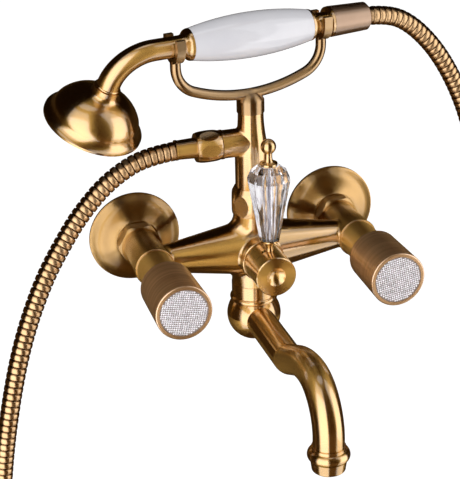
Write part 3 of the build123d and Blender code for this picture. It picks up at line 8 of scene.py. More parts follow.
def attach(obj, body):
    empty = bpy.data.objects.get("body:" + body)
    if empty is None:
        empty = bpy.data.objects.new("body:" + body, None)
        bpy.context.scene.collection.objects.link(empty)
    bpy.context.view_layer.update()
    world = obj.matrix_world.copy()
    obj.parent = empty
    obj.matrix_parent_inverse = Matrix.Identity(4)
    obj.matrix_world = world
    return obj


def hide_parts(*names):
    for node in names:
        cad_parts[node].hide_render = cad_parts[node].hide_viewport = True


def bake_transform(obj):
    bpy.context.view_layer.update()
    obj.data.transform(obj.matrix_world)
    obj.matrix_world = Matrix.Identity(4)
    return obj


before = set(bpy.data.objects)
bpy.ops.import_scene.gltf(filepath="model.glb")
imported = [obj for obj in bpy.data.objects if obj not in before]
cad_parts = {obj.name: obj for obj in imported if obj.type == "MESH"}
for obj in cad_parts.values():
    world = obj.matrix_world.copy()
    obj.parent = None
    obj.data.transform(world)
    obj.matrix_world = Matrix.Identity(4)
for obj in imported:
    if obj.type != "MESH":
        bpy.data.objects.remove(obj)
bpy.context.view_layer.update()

# Sizes and places in metres, as in the solids
AXIS_RISE = 0.008
INLET = 0.075
HUB_REACH = 0.0472
KNOB_FRONT = 0.1342
LEVER_REACH = 0.085
HANDLE_RISE = 0.1632
BRANCH_RISE = 0.0875
CRADLE_RISE = 0.114
BALL_DROP = 0.040

# Limits between the parts of one piece, where its turning marks change
ARM_REACH = 0.0675
ARM_LIMIT = 0.0115
BARREL_LIMIT = 0.014375
BOSS_LIMIT = 0.066
CROWN_LIMIT = 0.021
COLUMN_LIMIT = 0.0116
SLEEVE_LIMIT = 0.0105
BALL_LIMIT = 0.0195

# Hose and its ribs
HOSE_R = 0.0066
HOSE_ROOT_R = 0.0057
HOSE_END_R = 0.0057
RIB_PITCH = 0.00457
ROOT_DEPTH = 0.0003
RIB_FRONT_DROP = 0.00028
RIB_CROWN_DROP = 0.00003
RIB_BACK_DROP = 0.00025
PLAIN_END = 0.0145
PLAIN_STEP = 0.0004
# Depth of painted shade on the plain ends of the hose
END_PAINTED_SHADE = 0.3
HOSE_SIDES = 20
ROUTE_ORDER = 3
ROUTE_STEPS = 24

# One rib: share of its pitch, radius and depth of painted shade, which darkens its hollow
RIB_PROFILE = [
    (0.00, HOSE_ROOT_R - ROOT_DEPTH, 1.0),
    (0.07, HOSE_ROOT_R, 0.85),
    (0.13, HOSE_R - RIB_FRONT_DROP, 0.1),
    (0.26, HOSE_R - RIB_CROWN_DROP, 0.0),
    (0.52, HOSE_R, 0.0),
    (0.80, HOSE_R - RIB_CROWN_DROP, 0.0),
    (0.90, HOSE_R - RIB_BACK_DROP, 0.1),
    (0.95, HOSE_ROOT_R, 0.85),
]

# Route of the hose from the column outlet to the handset
HOSE_POINTS = [
    (-0.0400, -0.0472, 0.0875),
    (-0.0715, -0.0472, 0.0875),
    (-0.1008, -0.0485, 0.0735),
    (-0.1227, -0.0515, 0.0526),
    (-0.1365, -0.0570, 0.0365),
    (-0.1540, -0.0645, 0.0130),
    (-0.1718, -0.0725, -0.0240),
    (-0.1847, -0.0800, -0.0650),
    (-0.1950, -0.0840, -0.1160),
    (-0.2010, -0.0850, -0.1720),
    (-0.2015, -0.0845, -0.2280),
    (-0.1940, -0.0820, -0.3000),
    (-0.1660, -0.0795, -0.3700),
    (-0.1140, -0.0760, -0.4220),
    (-0.0400, -0.0710, -0.4490),
    (0.0420, -0.0655, -0.4450),
    (0.1110, -0.0590, -0.4060),
    (0.1570, -0.0510, -0.3460),
    (0.1840, -0.0430, -0.2720),
    (0.1940, -0.0370, -0.1960),
    (0.1955, -0.0330, -0.1240),
    (0.1940, -0.0310, -0.0680),
    (0.1905, -0.0289, -0.0120),
    (0.1840, -0.0270, 0.0320),
    (0.1738, -0.0262, 0.0790),
    (0.1529, -0.0262, 0.1228),
    (0.1282, -0.0270, 0.1513),
    (0.104636, -0.030253, 0.1632),
    (0.078971, -0.03441, 0.1632),
]

# Stones: the field, and the radius and height of each step of one stone
FIELD_R = 0.0165
FIELD_SINK = 0.0005
STONE_PITCH = 0.0015
STONE_R = 0.0007
STONE_STEPS = [(STONE_R, 0.0), (0.00066, 0.00022), (0.00036, 0.00046)]
STONE_LEAN = 0.00006
STONE_SIDES = 8
STONE_SHADES = (1.0, 0.97, 0.92, 0.85, 0.72)


# Node helpers
QUARTER_TURN = 0.25


def new_material(name):
    """Material, its node tree and its principled shader."""
    material = bpy.data.materials.new(name)
    material.use_nodes = True
    tree = material.node_tree
    return material, tree, tree.nodes["Principled BSDF"]


def noise(tree, scale, stretch=(1, 1, 1), detail=4):
    """Noise in the object's own coordinates, stretched along its axes."""
    place = tree.nodes.new("ShaderNodeTexCoord")
    mapping = tree.nodes.new("ShaderNodeMapping")
    mapping.inputs["Scale"].default_value = stretch
    texture = tree.nodes.new("ShaderNodeTexNoise")
    texture.inputs["Scale"].default_value = scale
    texture.inputs["Detail"].default_value = detail
    texture.inputs["Roughness"].default_value = 0.6
    tree.links.new(place.outputs["Object"], mapping.inputs["Vector"])
    tree.links.new(mapping.outputs["Vector"], texture.inputs["Vector"])
    return texture.outputs["Fac"]


def ramp(tree, value, stops):
    """Colour ramp from (position, colour) stops."""
    node = tree.nodes.new("ShaderNodeValToRGB")
    elements = node.color_ramp.elements
    while len(elements) < len(stops):
        elements.new(0.5)
    for element, (position, colour) in zip(elements, stops):
        element.position = position
        element.color = (*colour, 1)
    tree.links.new(value, node.inputs["Fac"])
    return node.outputs["Color"]


def spread(tree, value, low, high):
    """Value mapped from 0..1 to low..high."""
    node = tree.nodes.new("ShaderNodeMapRange")
    node.inputs["To Min"].default_value = low
    node.inputs["To Max"].default_value = high
    tree.links.new(value, node.inputs["Value"])
    return node.outputs["Result"]


def bump(tree, shader, value, strength, distance):
    """Bump from a height value."""
    node = tree.nodes.new("ShaderNodeBump")
    node.inputs["Strength"].default_value = strength
    node.inputs["Distance"].default_value = distance
    tree.links.new(value, node.inputs["Height"])
    tree.links.new(node.outputs["Normal"], shader.inputs["Normal"])


def attribute(tree, name, output):
    """Output of a named attribute of the mesh."""
    node = tree.nodes.new("ShaderNodeAttribute")
    node.attribute_name = name
    return node.outputs[output]


def turned_satin(tree, shader, amount):
    """Sheen that spreads across the turning marks, whose way each piece's own attribute holds."""
    to_world = tree.nodes.new("ShaderNodeVectorTransform")
    to_world.vector_type = "VECTOR"
    to_world.convert_from = "OBJECT"
    to_world.convert_to = "WORLD"
    tree.links.new(attribute(tree, "turning", "Vector"), to_world.inputs["Vector"])
    tree.links.new(to_world.outputs["Vector"], shader.inputs["Tangent"])
    shader.inputs["Anisotropic"].default_value = amount
    shader.inputs["Anisotropic Rotation"].default_value = QUARTER_TURN


# Materials: stretches of the brush marks, depths of the bumps in metres, and swings of the roughness
EVEN = (1, 1, 1)
ROUND_UPRIGHT = (0.05, 0.05, 1)
ROUND_OUTWARD = (0.05, 1, 0.05)
KNOB_RINGS = (0.03, 1, 0.03)
CRYSTAL_STREAKS = (1, 1, 0.05)
BRUSH_DEPTH = 0.00004
GRAIN_DEPTH = 0.0002
GLAZE_DEPTH = 0.0005
METAL_SWING = 0.03
SOFT_SWING = 0.08
BRASS_LIGHT = (0.67, 0.385, 0.095)
BRASS_DARK = (0.61, 0.335, 0.07)
BRASS_ROUGH = 0.28


def metal(
    name,
    light,
    dark,
    rough,
    brush=EVEN,
    brush_strength=0.05,
    scale=3500,
    turned=1,
    tone=(45, EVEN),
    lacquer=2.25,
):
    """Satin metal: patchy tone, marks along the way it was turned, worn gloss and a thin lacquer."""
    material, tree, shader = new_material(name)
    shader.inputs["Metallic"].default_value = 1
    patch = noise(tree, *tone, detail=6)
    tree.links.new(ramp(tree, patch, [(0.25, dark), (0.75, light)]), shader.inputs["Base Color"])
    lines = noise(tree, scale, brush, detail=3)
    gloss = spread(tree, lines, rough - METAL_SWING, rough + METAL_SWING)
    tree.links.new(gloss, shader.inputs["Roughness"])
    bump(tree, shader, lines, brush_strength, BRUSH_DEPTH)
    turned_satin(tree, shader, turned)
    shader.inputs["Coat Weight"].default_value = 1
    shader.inputs["Coat IOR"].default_value = lacquer
    shader.inputs["Coat Roughness"].default_value = 0.13
    return material


def hose_material():
    """Strip-wound brass, with painted shade darkening the hollows between the ribs."""
    material, tree, shader = new_material("ribbed_hose_brass")
    shader.inputs["Metallic"].default_value = 1
    patch = noise(tree, 90, detail=5)
    # Painted shade: dark brown mixed in by each vertex's shade depth, darkest in the hollows between the
    # ribs
    mix = tree.nodes.new("ShaderNodeMix")
    mix.data_type = "RGBA"
    mix.inputs["B"].default_value = (0.10, 0.055, 0.025, 1)
    crest = ramp(tree, patch, [(0.3, (0.60, 0.38, 0.19)), (0.7, (0.74, 0.50, 0.27))])
    tree.links.new(attribute(tree, "hose_painted_shade", "Fac"), mix.inputs["Factor"])
    tree.links.new(crest, mix.inputs["A"])
    tree.links.new(mix.outputs["Result"], shader.inputs["Base Color"])
    tree.links.new(spread(tree, patch, 0.26, 0.34), shader.inputs["Roughness"])
    bump(tree, shader, noise(tree, 1500, detail=2), 0.03, GRAIN_DEPTH)
    turned_satin(tree, shader, 0.9)
    return material


def porcelain_material():
    """Glazed white porcelain with a faint cool waviness."""
    material, tree, shader = new_material("glazed_porcelain")
    tone = ramp(tree, noise(tree, 28, detail=3), [(0.3, (0.72, 0.72, 0.76)), (0.7, (0.78, 0.78, 0.81))])
    tree.links.new(tone, shader.inputs["Base Color"])
    tree.links.new(spread(tree, noise(tree, 160), 0.06, 0.14), shader.inputs["Roughness"])
    shader.inputs["Coat Weight"].default_value = 0.6
    shader.inputs["Coat Roughness"].default_value = 0.04
    bump(tree, shader, noise(tree, 60, detail=1), 0.05, GLAZE_DEPTH)
    return material


def crystal_material():
    """Clear cut glass, its tint streaked upright with grey as painted reflection, and with slightly
    varying polish.
    """
    material, tree, shader = new_material("cut_crystal")
    streaks = noise(tree, 420, CRYSTAL_STREAKS, detail=2)
    # Painted reflection: grey streaks in the glass's tint stand in for the dark lines its cut facets show
    painted_reflection_tones = [(0.38, (0.38, 0.36, 0.40)), (0.47, (0.80, 0.78, 0.82)), (0.62, (0.93, 0.93, 0.95))]
    tree.links.new(ramp(tree, streaks, painted_reflection_tones), shader.inputs["Base Color"])
    tree.links.new(spread(tree, noise(tree, 300), 0.0, 0.03), shader.inputs["Roughness"])
    shader.inputs["Transmission Weight"].default_value = 1
    shader.inputs["IOR"].default_value = 1.6
    bump(tree, shader, streaks, 0.25, GLAZE_DEPTH)
    return material


def stone_material():
    """Foiled stones, each with its own pale tint."""
    material, tree, shader = new_material("foiled_stones")
    shader.inputs["Metallic"].default_value = 0.25
    shader.inputs["Coat Weight"].default_value = 1
    tree.links.new(attribute(tree, "tint", "Color"), shader.inputs["Base Color"])
    tree.links.new(spread(tree, noise(tree, 400), 0.10, 0.22), shader.inputs["Roughness"])
    return material


def soft_material(name, light, dark, rough):
    """Plain moulded plastic, rubber or ceramic with a fine grain."""
    material, tree, shader = new_material(name)
    grain = noise(tree, 1200, detail=5)
    tree.links.new(ramp(tree, grain, [(0.3, dark), (0.7, light)]), shader.inputs["Base Color"])
    tree.links.new(spread(tree, grain, rough - SOFT_SWING, rough + SOFT_SWING), shader.inputs["Roughness"])
    bump(tree, shader, grain, 0.12, GRAIN_DEPTH)
    return material


brass = metal("antique_brass", BRASS_LIGHT, BRASS_DARK, BRASS_ROUGH)
brass_upright = metal(
    "antique_brass_turned_upright", BRASS_LIGHT, BRASS_DARK, BRASS_ROUGH, brush=ROUND_UPRIGHT
)
brass_outward = metal(
    "antique_brass_turned_outward",
    light=(0.77, 0.45, 0.11),
    dark=(0.71, 0.40, 0.085),
    rough=BRASS_ROUGH,
    brush=ROUND_OUTWARD,
    brush_strength=0.015,
)
brass_soft = metal("antique_brass_matt", light=(0.68, 0.40, 0.11), dark=(0.58, 0.33, 0.075), rough=0.40)
# Painted shade: a darker copy of the antique brass with a thinner lacquer, for the roses and union nuts;
# the thinner lacquer is their own duller finish
brass_dull_painted_shade = metal(
    "antique_brass_dull_painted_shade", light=(0.60, 0.365, 0.125), dark=(0.50, 0.29, 0.085), rough=0.29, lacquer=1.45
)
# Painted shade: a darker copy of the antique brass, for the cradle
brass_painted_shade = metal(
    "antique_brass_painted_shade", light=(0.48, 0.30, 0.13), dark=(0.34, 0.205, 0.08), rough=0.29, lacquer=1.5
)
knob_metal = metal(
    "brown_brushed_brass",
    light=(0.95, 0.61, 0.32),
    dark=(0.57, 0.335, 0.155),
    rough=0.46,
    brush=KNOB_RINGS,
    brush_strength=0.5,
    scale=700,
    turned=0.5,
    tone=(420, KNOB_RINGS),
)
cone_metal = metal(
    "beige_satin_shell",
    light=(0.48, 0.32, 0.21),
    dark=(0.40, 0.26, 0.16),
    rough=0.42,
    brush_strength=0.15,
    scale=2500,
    turned=0.4,
    lacquer=1.5,
)
plain_brass = metal(
    "machined_brass", light=(0.80, 0.62, 0.32), dark=(0.70, 0.52, 0.25), rough=0.24, brush=ROUND_OUTWARD
)
steel = metal("plain_steel", light=(0.50, 0.50, 0.51), dark=(0.38, 0.38, 0.39), rough=0.30)
hose_brass = hose_material()
porcelain = porcelain_material()
crystal = crystal_material()
stones = stone_material()
rubber = soft_material("black_rubber", (0.035, 0.035, 0.035), (0.02, 0.02, 0.02), 0.65)
plastic = soft_material("grey_plastic", (0.16, 0.16, 0.165), (0.12, 0.12, 0.125), 0.45)
stone_bed = soft_material("stone_bed", (0.34, 0.28, 0.25), (0.22, 0.18, 0.16), 0.5)
disc_ceramic = soft_material("lapped_ceramic", (0.80, 0.80, 0.78), (0.74, 0.74, 0.72), 0.35)

# Finish of each piece, by its name without its side; the rest is antique brass
FINISHES = [
    (brass_upright, "shower_column column_nut spout_collar lever_finial lever_cup outlet_ring"),
    (brass_outward, "lever_hub"),
    (brass_soft, "bonnet outlet_ferrule"),
    # Painted shade on the roses and union nuts, by a darker copy of the brass
    (brass_dull_painted_shade, "rose union_nut"),
    # Painted shade on the cradle, by a darker copy of the brass
    (brass_painted_shade, "cradle"),
    (knob_metal, "knob"),
    (cone_metal, "cone_nut"),
    (plain_brass, "s_union headwork spindle diverter_cartridge diverter_spindle handle_core"),
    (steel, "lever_rod knob_screw column_clip spout_clip lever_grub_screw"),
    (hose_brass, "hose_left hose_low hose_right"),
    (porcelain, "porcelain_grip"),
    (crystal, "lever_crystal"),
    (rubber, "inlet_washers column_washer outlet_washer handset_washer spout_seal face_gasket"),
    (plastic, "spray_face aerator"),
    (stone_bed, "inlay"),
    (disc_ceramic, "held_disc turned_disc"),
]
FINISH = {name: finish for finish, names in FINISHES for name in names.split()}

for node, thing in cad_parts.items():
    name = node.removesuffix("_hot").removesuffix("_cold")
    thing.data.materials.clear()
    thing.data.materials.append(FINISH.get(name, brass))


def store(mesh, name, kind, values):
    """Attribute with a number or a vector for each vertex."""
    layer = mesh.attributes.new(name, kind, "POINT")
    layer.data.foreach_set("value" if kind == "FLOAT" else "vector", values)


# Turning marks: the way round each piece, which its satin follows
RIGHTWARD = Vector((1, 0, 0))
OUTWARD = Vector((0, -1, 0))
UPWARD = Vector((0, 0, 1))
HUB = Vector((0, -HUB_REACH, 0))
DIVERTER = Vector((0, 0, AXIS_RISE))
LEVER = Vector((0, -LEVER_REACH, 0))
BRANCH = Vector((0, -HUB_REACH, BRANCH_RISE))
BALL = Vector((0, -HUB_REACH, -BALL_DROP))
CRADLE_FOOT = Vector((0, -HUB_REACH, CRADLE_RISE))
HANDLE = Vector((0.9871, 0.1599, 0))
HANDLE_MIDDLE = Vector((0, -HUB_REACH, HANDLE_RISE))
HEAD_DOWN = Vector((-0.306, 0.3338, -0.8916))
HEAD_MIDDLE = Vector((-0.10881, -0.04398, 0.11472))
ARM_SIDE = (HEAD_DOWN - HEAD_DOWN.dot(HANDLE) * HANDLE).normalized()
ARM_START = 0.0527

# Runs of the bent tubes: length in metres, and turn in degrees
SPOUT_RUNS = [(0.074, 0), (0.0061, 25), (0.016, 0), (0.0279, -25), (0.0518, -90), (0.0095, 0)]
ARM_RUNS = [(0.0185, 0), (0.0396, 75.6), (0.0027, 0)]
CRADLE_RUNS = [(0.0448, 22.3), (0.0236, 67.7), (0.02, 0)]
BEND_STEP = 6


def around(place, axis):
    """Way round an axis."""
    return lambda point: axis.cross(point - place)


def along_tube(line):
    """Way round a bent tube whose middle follows a line of points."""
    spans = list(zip(line, line[1:]))

    def way(point):
        before, after = min(spans, key=lambda span: (point - (span[0] + span[1]) / 2).length)
        return (after - before).cross(point - before)

    return way


def walk(place, ahead, side, runs):
    """Points along straight runs and bends towards one side, in one plane."""
    points = [place]
    for length, turn in runs:
        steps = max(1, round(abs(turn) / BEND_STEP))
        half = radians(turn / steps) / 2
        for _ in range(steps):
            ahead, side = ahead * cos(half) + side * sin(half), side * cos(half) - ahead * sin(half)
            place = place + ahead * (length / steps)
            ahead, side = ahead * cos(half) + side * sin(half), side * cos(half) - ahead * sin(half)
            points.append(place)
    return points


spout_line = walk(BALL, OUTWARD, UPWARD, SPOUT_RUNS)
arm_line = walk(HANDLE_MIDDLE - HANDLE * ARM_START, -HANDLE, ARM_SIDE, ARM_RUNS)
cradle_left = walk(CRADLE_FOOT, -HANDLE, UPWARD, CRADLE_RUNS)
cradle_right = walk(CRADLE_FOOT, HANDLE, UPWARD, CRADLE_RUNS)


def round_body(point):
    """Way round the part of the body casting that a point lies on."""
    across, reach, height = abs(point.x), -point.y, abs(point.z)
    on_arm = across < ARM_REACH and abs(reach - HUB_REACH) < ARM_LIMIT and height < ARM_LIMIT
    if across > INLET - BARREL_LIMIT and not on_arm:
        barrel = Vector((INLET if point.x > 0 else -INLET, 0, AXIS_RISE))
        return OUTWARD.cross(point - barrel)
    if reach > BOSS_LIMIT:
        return OUTWARD.cross(point - DIVERTER)
    if height > CROWN_LIMIT:
        return UPWARD.cross(point - HUB)
    return RIGHTWARD.cross(point - HUB)


def round_column(point):
    """Way round the column or its side branch."""
    if point.x < -COLUMN_LIMIT:
        return RIGHTWARD.cross(point - BRANCH)
    return UPWARD.cross(point - HUB)


def round_spout(point):
    """Way round the spout's ball or its tube."""
    if (point - BALL).length < BALL_LIMIT:
        return UPWARD.cross(point - BALL)
    return along_tube(spout_line)(point)


def round_cradle(point):
    """Way round the cradle's sleeve or one side of its bar."""
    if (point - HUB).xy.length < SLEEVE_LIMIT:
        return UPWARD.cross(point - HUB)
    return along_tube(cradle_right if point.x > 0 else cradle_left)(point)


TURNING = {
    "mixer_body": round_body,
    "shower_column": round_column,
    "spout": round_spout,
    "cradle": round_cradle,
    "handset_arm": along_tube(arm_line),
    "shower_head": around(HEAD_MIDDLE, HEAD_DOWN),
    "column_nut": around(HUB, UPWARD),
    "spout_collar": around(HUB, UPWARD),
    "lever_hub": around(DIVERTER, OUTWARD),
    "lever_cup": around(LEVER, UPWARD),
    "lever_finial": around(LEVER, UPWARD),
    "outlet_ring": around(spout_line[-1], UPWARD),
    "hose_nut": around(BRANCH, RIGHTWARD),
    "outlet_ferrule": around(BRANCH, RIGHTWARD),
    "cone_nut": around(HANDLE_MIDDLE, HANDLE),
    "grip_cap": around(HANDLE_MIDDLE, HANDLE),
}
for side, across in (("hot", -INLET), ("cold", INLET)):
    for piece in ("rose", "union_nut", "bonnet", "knob"):
        TURNING[piece + "_" + side] = around(Vector((across, 0, AXIS_RISE)), OUTWARD)

for node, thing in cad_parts.items():
    points = [vertex.co for vertex in thing.data.vertices]
    middle = sum(points, Vector()) / len(points)
    way = TURNING.get(node, around(middle, OUTWARD))
    store(thing.data, "turning", "FLOAT_VECTOR", [number for point in points for number in way(point)])


def add_mesh(name, points, faces, material):
    """Mesh object in the scene."""
    mesh = bpy.data.meshes.new(name)
    mesh.from_pydata(points, [], faces)
    mesh.materials.append(material)
    thing = bpy.data.objects.new(name, mesh)
    bpy.context.collection.objects.link(thing)
    return thing


# Hose
def route_line(points):
    """Points read from the smooth spline on the route's points."""
    curve = bpy.data.curves.new("hose_route", "CURVE")
    curve.dimensions = "3D"
    spline = curve.splines.new("NURBS")
    spline.points.add(len(points) - 1)
    for point, place in zip(spline.points, points):
        point.co = (*place, 1)
    spline.order_u = ROUTE_ORDER
    spline.use_endpoint_u = True
    spline.resolution_u = ROUTE_STEPS
    thing = bpy.data.objects.new("hose_route", curve)
    bpy.context.collection.objects.link(thing)
    bpy.context.view_layer.update()
    line = bpy.data.meshes.new_from_object(thing)
    places = [vertex.co.copy() for vertex in line.vertices]
    bpy.data.objects.remove(thing)
    bpy.data.meshes.remove(line)
    return places


def lengths_along(places):
    """Length of a line of points up to each of them."""
    lengths = [0.0]
    for before, after in zip(places, places[1:]):
        lengths.append(lengths[-1] + (after - before).length)
    return lengths


def hose_rings(length):
    """Distance along the hose, radius and depth of painted shade of each ring, in rising order."""
    count = round((length - 2 * PLAIN_END) / RIB_PITCH)
    pitch = (length - 2 * PLAIN_END) / count
    rings = [(0.0, HOSE_END_R, END_PAINTED_SHADE), (PLAIN_END - PLAIN_STEP, HOSE_END_R, END_PAINTED_SHADE)]
    for number in range(count):
        foot = PLAIN_END + number * pitch
        rings += [(foot + share * pitch, radius, hose_painted_shade) for share, radius, hose_painted_shade in RIB_PROFILE]
    rings.append((length - PLAIN_END + PLAIN_STEP, HOSE_END_R, END_PAINTED_SHADE))
    rings.append((length, HOSE_END_R, END_PAINTED_SHADE))
    return rings


def ribbed_hose(name, places):
    """Closed tube with rounded ribs, and with attributes for the painted shade in its hollows and on its
    plain ends, and for its turning marks.
    """
    lengths = lengths_along(places)
    rings = hose_rings(lengths[-1])
    points, hose_painted_shades, ways, faces = [], [], [], []
    span = 0
    for reach, radius, hose_painted_shade in rings:
        while span < len(places) - 2 and lengths[span + 1] < reach:
            span += 1
        before, after = places[span], places[span + 1]
        place = before.lerp(after, (reach - lengths[span]) / (lengths[span + 1] - lengths[span]))
        along = (after - before).normalized()
        across = (OUTWARD - along * OUTWARD.dot(along)).normalized()
        beside = along.cross(across)
        for side in range(HOSE_SIDES):
            turn = 2 * pi * side / HOSE_SIDES
            points.append(place + radius * (cos(turn) * across + sin(turn) * beside))
            hose_painted_shades.append(hose_painted_shade)
            ways.extend(cos(turn) * beside - sin(turn) * across)
    for ring in range(len(rings) - 1):
        low, high = ring * HOSE_SIDES, (ring + 1) * HOSE_SIDES
        for side in range(HOSE_SIDES):
            after = (side + 1) % HOSE_SIDES
            faces.append((low + side, low + after, high + after, high + side))
    faces.append(tuple(range(HOSE_SIDES))[::-1])
    faces.append(tuple(range(len(points) - HOSE_SIDES, len(points))))
    thing = add_mesh(name, points, faces, hose_brass)
    thing.data.shade_smooth()
    # Depth of painted shade at each vertex
    store(thing.data, "hose_painted_shade", "FLOAT", hose_painted_shades)
    store(thing.data, "turning", "FLOAT_VECTOR", ways)
    return thing


hose_line = route_line(HOSE_POINTS)
hose = ribbed_hose("ribbed_hose", hose_line)
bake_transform(hose)
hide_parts("hose_left", "hose_low", "hose_right")


# Stones
def stone_places():
    """Place of each stone in the field: along its rows and up from its middle."""
    reach = int(FIELD_R / STONE_PITCH) + 1
    for row in range(-reach, reach + 1):
        for column in range(-reach, reach + 1):
            along, up = column * STONE_PITCH, row * STONE_PITCH
            if along * along + up * up <= (FIELD_R - STONE_R) ** 2:
                yield along, up


def stone_inlay(name, across, turn, body, seed):
    """Round field of small faceted stones in straight rows, turned by an angle in degrees."""
    rng = random.Random(seed)
    front = KNOB_FRONT - FIELD_SINK
    turn = radians(turn)
    points, faces, tints = [], [], []
    for along, up in stone_places():
        x = across + along * cos(turn) - up * sin(turn)
        z = AXIS_RISE + along * sin(turn) + up * cos(turn)
        first = len(points)
        lean_x, lean_z = rng.uniform(-STONE_LEAN, STONE_LEAN), rng.uniform(-STONE_LEAN, STONE_LEAN)
        shade = rng.choice(STONE_SHADES)
        tint = (shade * rng.uniform(0.95, 1), shade * rng.uniform(0.93, 0.98), shade, 1)
        for radius, height in STONE_STEPS:
            for corner in range(STONE_SIDES):
                angle = 2 * pi * corner / STONE_SIDES + pi / STONE_SIDES
                lean = (lean_x * cos(angle) + lean_z * sin(angle)) * (height > 0)
                y = -(front + height + lean)
                points.append((x + radius * cos(angle), y, z + radius * sin(angle)))
                tints.append(tint)
        for low in (first, first + STONE_SIDES):
            high = low + STONE_SIDES
            for corner in range(STONE_SIDES):
                after = (corner + 1) % STONE_SIDES
                faces.append((low + corner, low + after, high + after, high + corner))
        faces.append(tuple(range(first + 2 * STONE_SIDES, first + 3 * STONE_SIDES)))
    thing = add_mesh(name, points, faces, stones)
    thing.data.shade_flat()
    layer = thing.data.color_attributes.new("tint", "FLOAT_COLOR", "POINT")
    layer.data.foreach_set("color", [number for tint in tints for number in tint])
    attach(thing, body)


stone_inlay("stone_field_hot", -INLET, -12, "knob_hot", 3)
stone_inlay("stone_field_cold", INLET, 10, "knob_cold", 4)

# Camera as solved from the photograph: place in metres, angles in radians, lens and sensor in millimetres
CAMERA_PLACE = Vector((-0.30914, -1.02357, 0.46684))
YAW = 0.2909
PITCH = 0.4169
ROLL = 0.0235
LENS = 118.76
SENSOR = 36
CLIP_END = 60

camera_data = bpy.data.cameras.new("camera")
camera_data.sensor_width = SENSOR
camera_data.lens = LENS
camera_data.clip_end = CLIP_END
camera = bpy.data.objects.new("camera", camera_data)
bpy.context.collection.objects.link(camera)
forward = Vector((sin(YAW) * cos(PITCH), cos(YAW) * cos(PITCH), -sin(PITCH)))
level = Vector((cos(YAW), -sin(YAW), 0))
below = forward.cross(level)
right = level * cos(ROLL) + below * sin(ROLL)
down = below * cos(ROLL) - level * sin(ROLL)
axes = Matrix((right, -down, -forward)).transposed().to_4x4()
camera.matrix_world = Matrix.Translation(CAMERA_PLACE) @ axes
bpy.context.scene.camera = camera

# Studio: sizes in metres, angles in degrees
FLOOR = -1.0
FLOOR_REACH = 30
FLOOR_TOP_UP = 0.52
AMBIENT = 0.6
CARD_REACH = 1.35
CARD_FLOOR = 0.95
CARD_STEPS = 16
CARD_COLOUR = (1, 0.53, 0.16, 1)
LAMP_REACH = 1.15

# Azimuths, elevations and strength of each dark card
CARDS = {
    "card_behind_high": ((80, 284), (15, 90), 0.008),
    "card_behind_low": ((80, 284), (-90, 15), 0.05),
    "card_gap": ((-16, 34), (-8, 62), 0.055),
    "card_gap_low": ((-14, 30), (-52, -8), 0.15),
    "card_front_top": ((-76, 80), (62, 72), 0.20),
    "card_front_low": ((-76, 80), (-90, -52), 0.045),
}

# Azimuth, elevation, lean, size, radiance and colour of each lamp
LAMPS = {
    "softbox_left": (-44, 3, 0, (1.08, 1.95), 1.36, (1.0, 0.97, 0.97)),
    "softbox_right": (60, 8, -18, (0.82, 1.50), 1.20, (1.0, 0.96, 0.97)),
}


def larger(tree, first, second):
    """Larger of two values."""
    node = tree.nodes.new("ShaderNodeMath")
    node.operation = "MAXIMUM"
    tree.links.new(first, node.inputs[0])
    tree.links.new(second, node.inputs[1])
    return node.outputs["Value"]


def backdrop_factor(tree):
    """1 for camera, glossy and transmission rays."""
    path = tree.nodes.new("ShaderNodeLightPath")
    shown = larger(tree, path.outputs["Is Camera Ray"], path.outputs["Is Glossy Ray"])
    return larger(tree, shown, path.outputs["Is Transmission Ray"])


def direction(azimuth, elevation):
    """Unit vector: azimuth 0 is -Y, 90 is +X; elevation is above the horizon."""
    a, e = radians(azimuth), radians(elevation)
    return Vector((sin(a) * cos(e), -cos(a) * cos(e), sin(e)))


def white_world():
    """World that is white to the camera, metal and glass, and a plain soft light to the rest."""
    world = bpy.data.worlds.new("studio")
    bpy.context.scene.world = world
    world.use_nodes = True
    tree = world.node_tree
    plain = tree.nodes["Background"]
    plain.inputs["Color"].default_value = (1, 1, 1, 1)
    plain.inputs["Strength"].default_value = AMBIENT
    shown = tree.nodes.new("ShaderNodeBackground")
    shown.inputs["Color"].default_value = (1, 1, 1, 1)
    shown.inputs["Strength"].default_value = 1.0
    mix = tree.nodes.new("ShaderNodeMixShader")
    tree.links.new(backdrop_factor(tree), mix.inputs["Fac"])
    tree.links.new(plain.outputs["Background"], mix.inputs[1])
    tree.links.new(shown.outputs["Background"], mix.inputs[2])
    tree.links.new(mix.outputs["Shader"], tree.nodes["World Output"].inputs["Surface"])


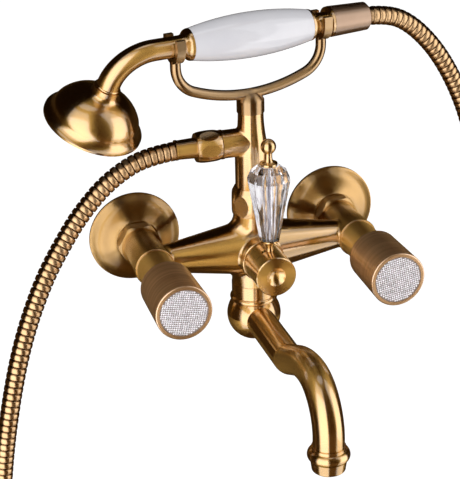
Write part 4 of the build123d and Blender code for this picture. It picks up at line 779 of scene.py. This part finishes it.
def pale_floor():
    """Floor whose light is topped up to white for the camera, metal and glass, so a shadow stays."""
    material, tree, shader = new_material("pale_floor")
    shader.inputs["Base Color"].default_value = (0.9, 0.9, 0.9, 1)
    shader.inputs["Roughness"].default_value = 0.9
    glow = tree.nodes.new("ShaderNodeEmission")
    top_up = tree.nodes.new("ShaderNodeMath")
    top_up.operation = "MULTIPLY"
    top_up.inputs[1].default_value = FLOOR_TOP_UP
    tree.links.new(backdrop_factor(tree), top_up.inputs[0])
    tree.links.new(top_up.outputs["Value"], glow.inputs["Strength"])
    both = tree.nodes.new("ShaderNodeAddShader")
    tree.links.new(shader.outputs["BSDF"], both.inputs[0])
    tree.links.new(glow.outputs["Emission"], both.inputs[1])
    tree.links.new(both.outputs["Shader"], tree.nodes["Material Output"].inputs["Surface"])
    corners = [(-1, -1), (1, -1), (1, 1), (-1, 1)]
    points = [(FLOOR_REACH * x, FLOOR_REACH * y, FLOOR) for x, y in corners]
    thing = add_mesh("floor", points, [(0, 1, 2, 3)], material)


def card(name, azimuths, elevations, strength):
    """Curved card that only reflections see, in one plain tone."""
    material, tree, _ = new_material(name)
    glow = tree.nodes.new("ShaderNodeEmission")
    glow.inputs["Color"].default_value = CARD_COLOUR
    glow.inputs["Strength"].default_value = strength
    tree.links.new(glow.outputs["Emission"], tree.nodes["Material Output"].inputs["Surface"])
    points, faces = [], []
    for row in range(CARD_STEPS + 1):
        for column in range(CARD_STEPS + 1):
            azimuth = azimuths[0] + (azimuths[1] - azimuths[0]) * column / CARD_STEPS
            elevation = elevations[0] + (elevations[1] - elevations[0]) * row / CARD_STEPS
            toward = direction(azimuth, elevation)
            reach = CARD_REACH if toward.z > -CARD_FLOOR / CARD_REACH else CARD_FLOOR / -toward.z
            points.append(toward * reach)
    for row in range(CARD_STEPS):
        for column in range(CARD_STEPS):
            first = row * (CARD_STEPS + 1) + column
            faces.append((first, first + 1, first + CARD_STEPS + 2, first + CARD_STEPS + 1))
    thing = add_mesh(name, points, faces, material)
    thing.visible_camera = False
    thing.visible_diffuse = False
    thing.visible_shadow = False
    thing.visible_transmission = False


def lamp(name, azimuth, elevation, lean, size, radiance, colour):
    """Soft rectangular lamp that faces the object."""
    data = bpy.data.lights.new(name, "AREA")
    data.shape = "RECTANGLE"
    data.size, data.size_y = size
    data.energy = radiance * pi * size[0] * size[1]
    data.color = colour
    thing = bpy.data.objects.new(name, data)
    bpy.context.collection.objects.link(thing)
    toward = direction(azimuth, elevation)
    turn = toward.to_track_quat("Z", "Y").to_matrix().to_4x4() @ Matrix.Rotation(radians(lean), 4, "Z")
    thing.matrix_world = Matrix.Translation(toward * LAMP_REACH) @ turn
    thing.visible_camera = False


white_world()
pale_floor()
for name, settings in CARDS.items():
    card(name, *settings)
for name, settings in LAMPS.items():
    lamp(name, *settings)

bpy.context.scene.view_settings.view_transform = "Standard"
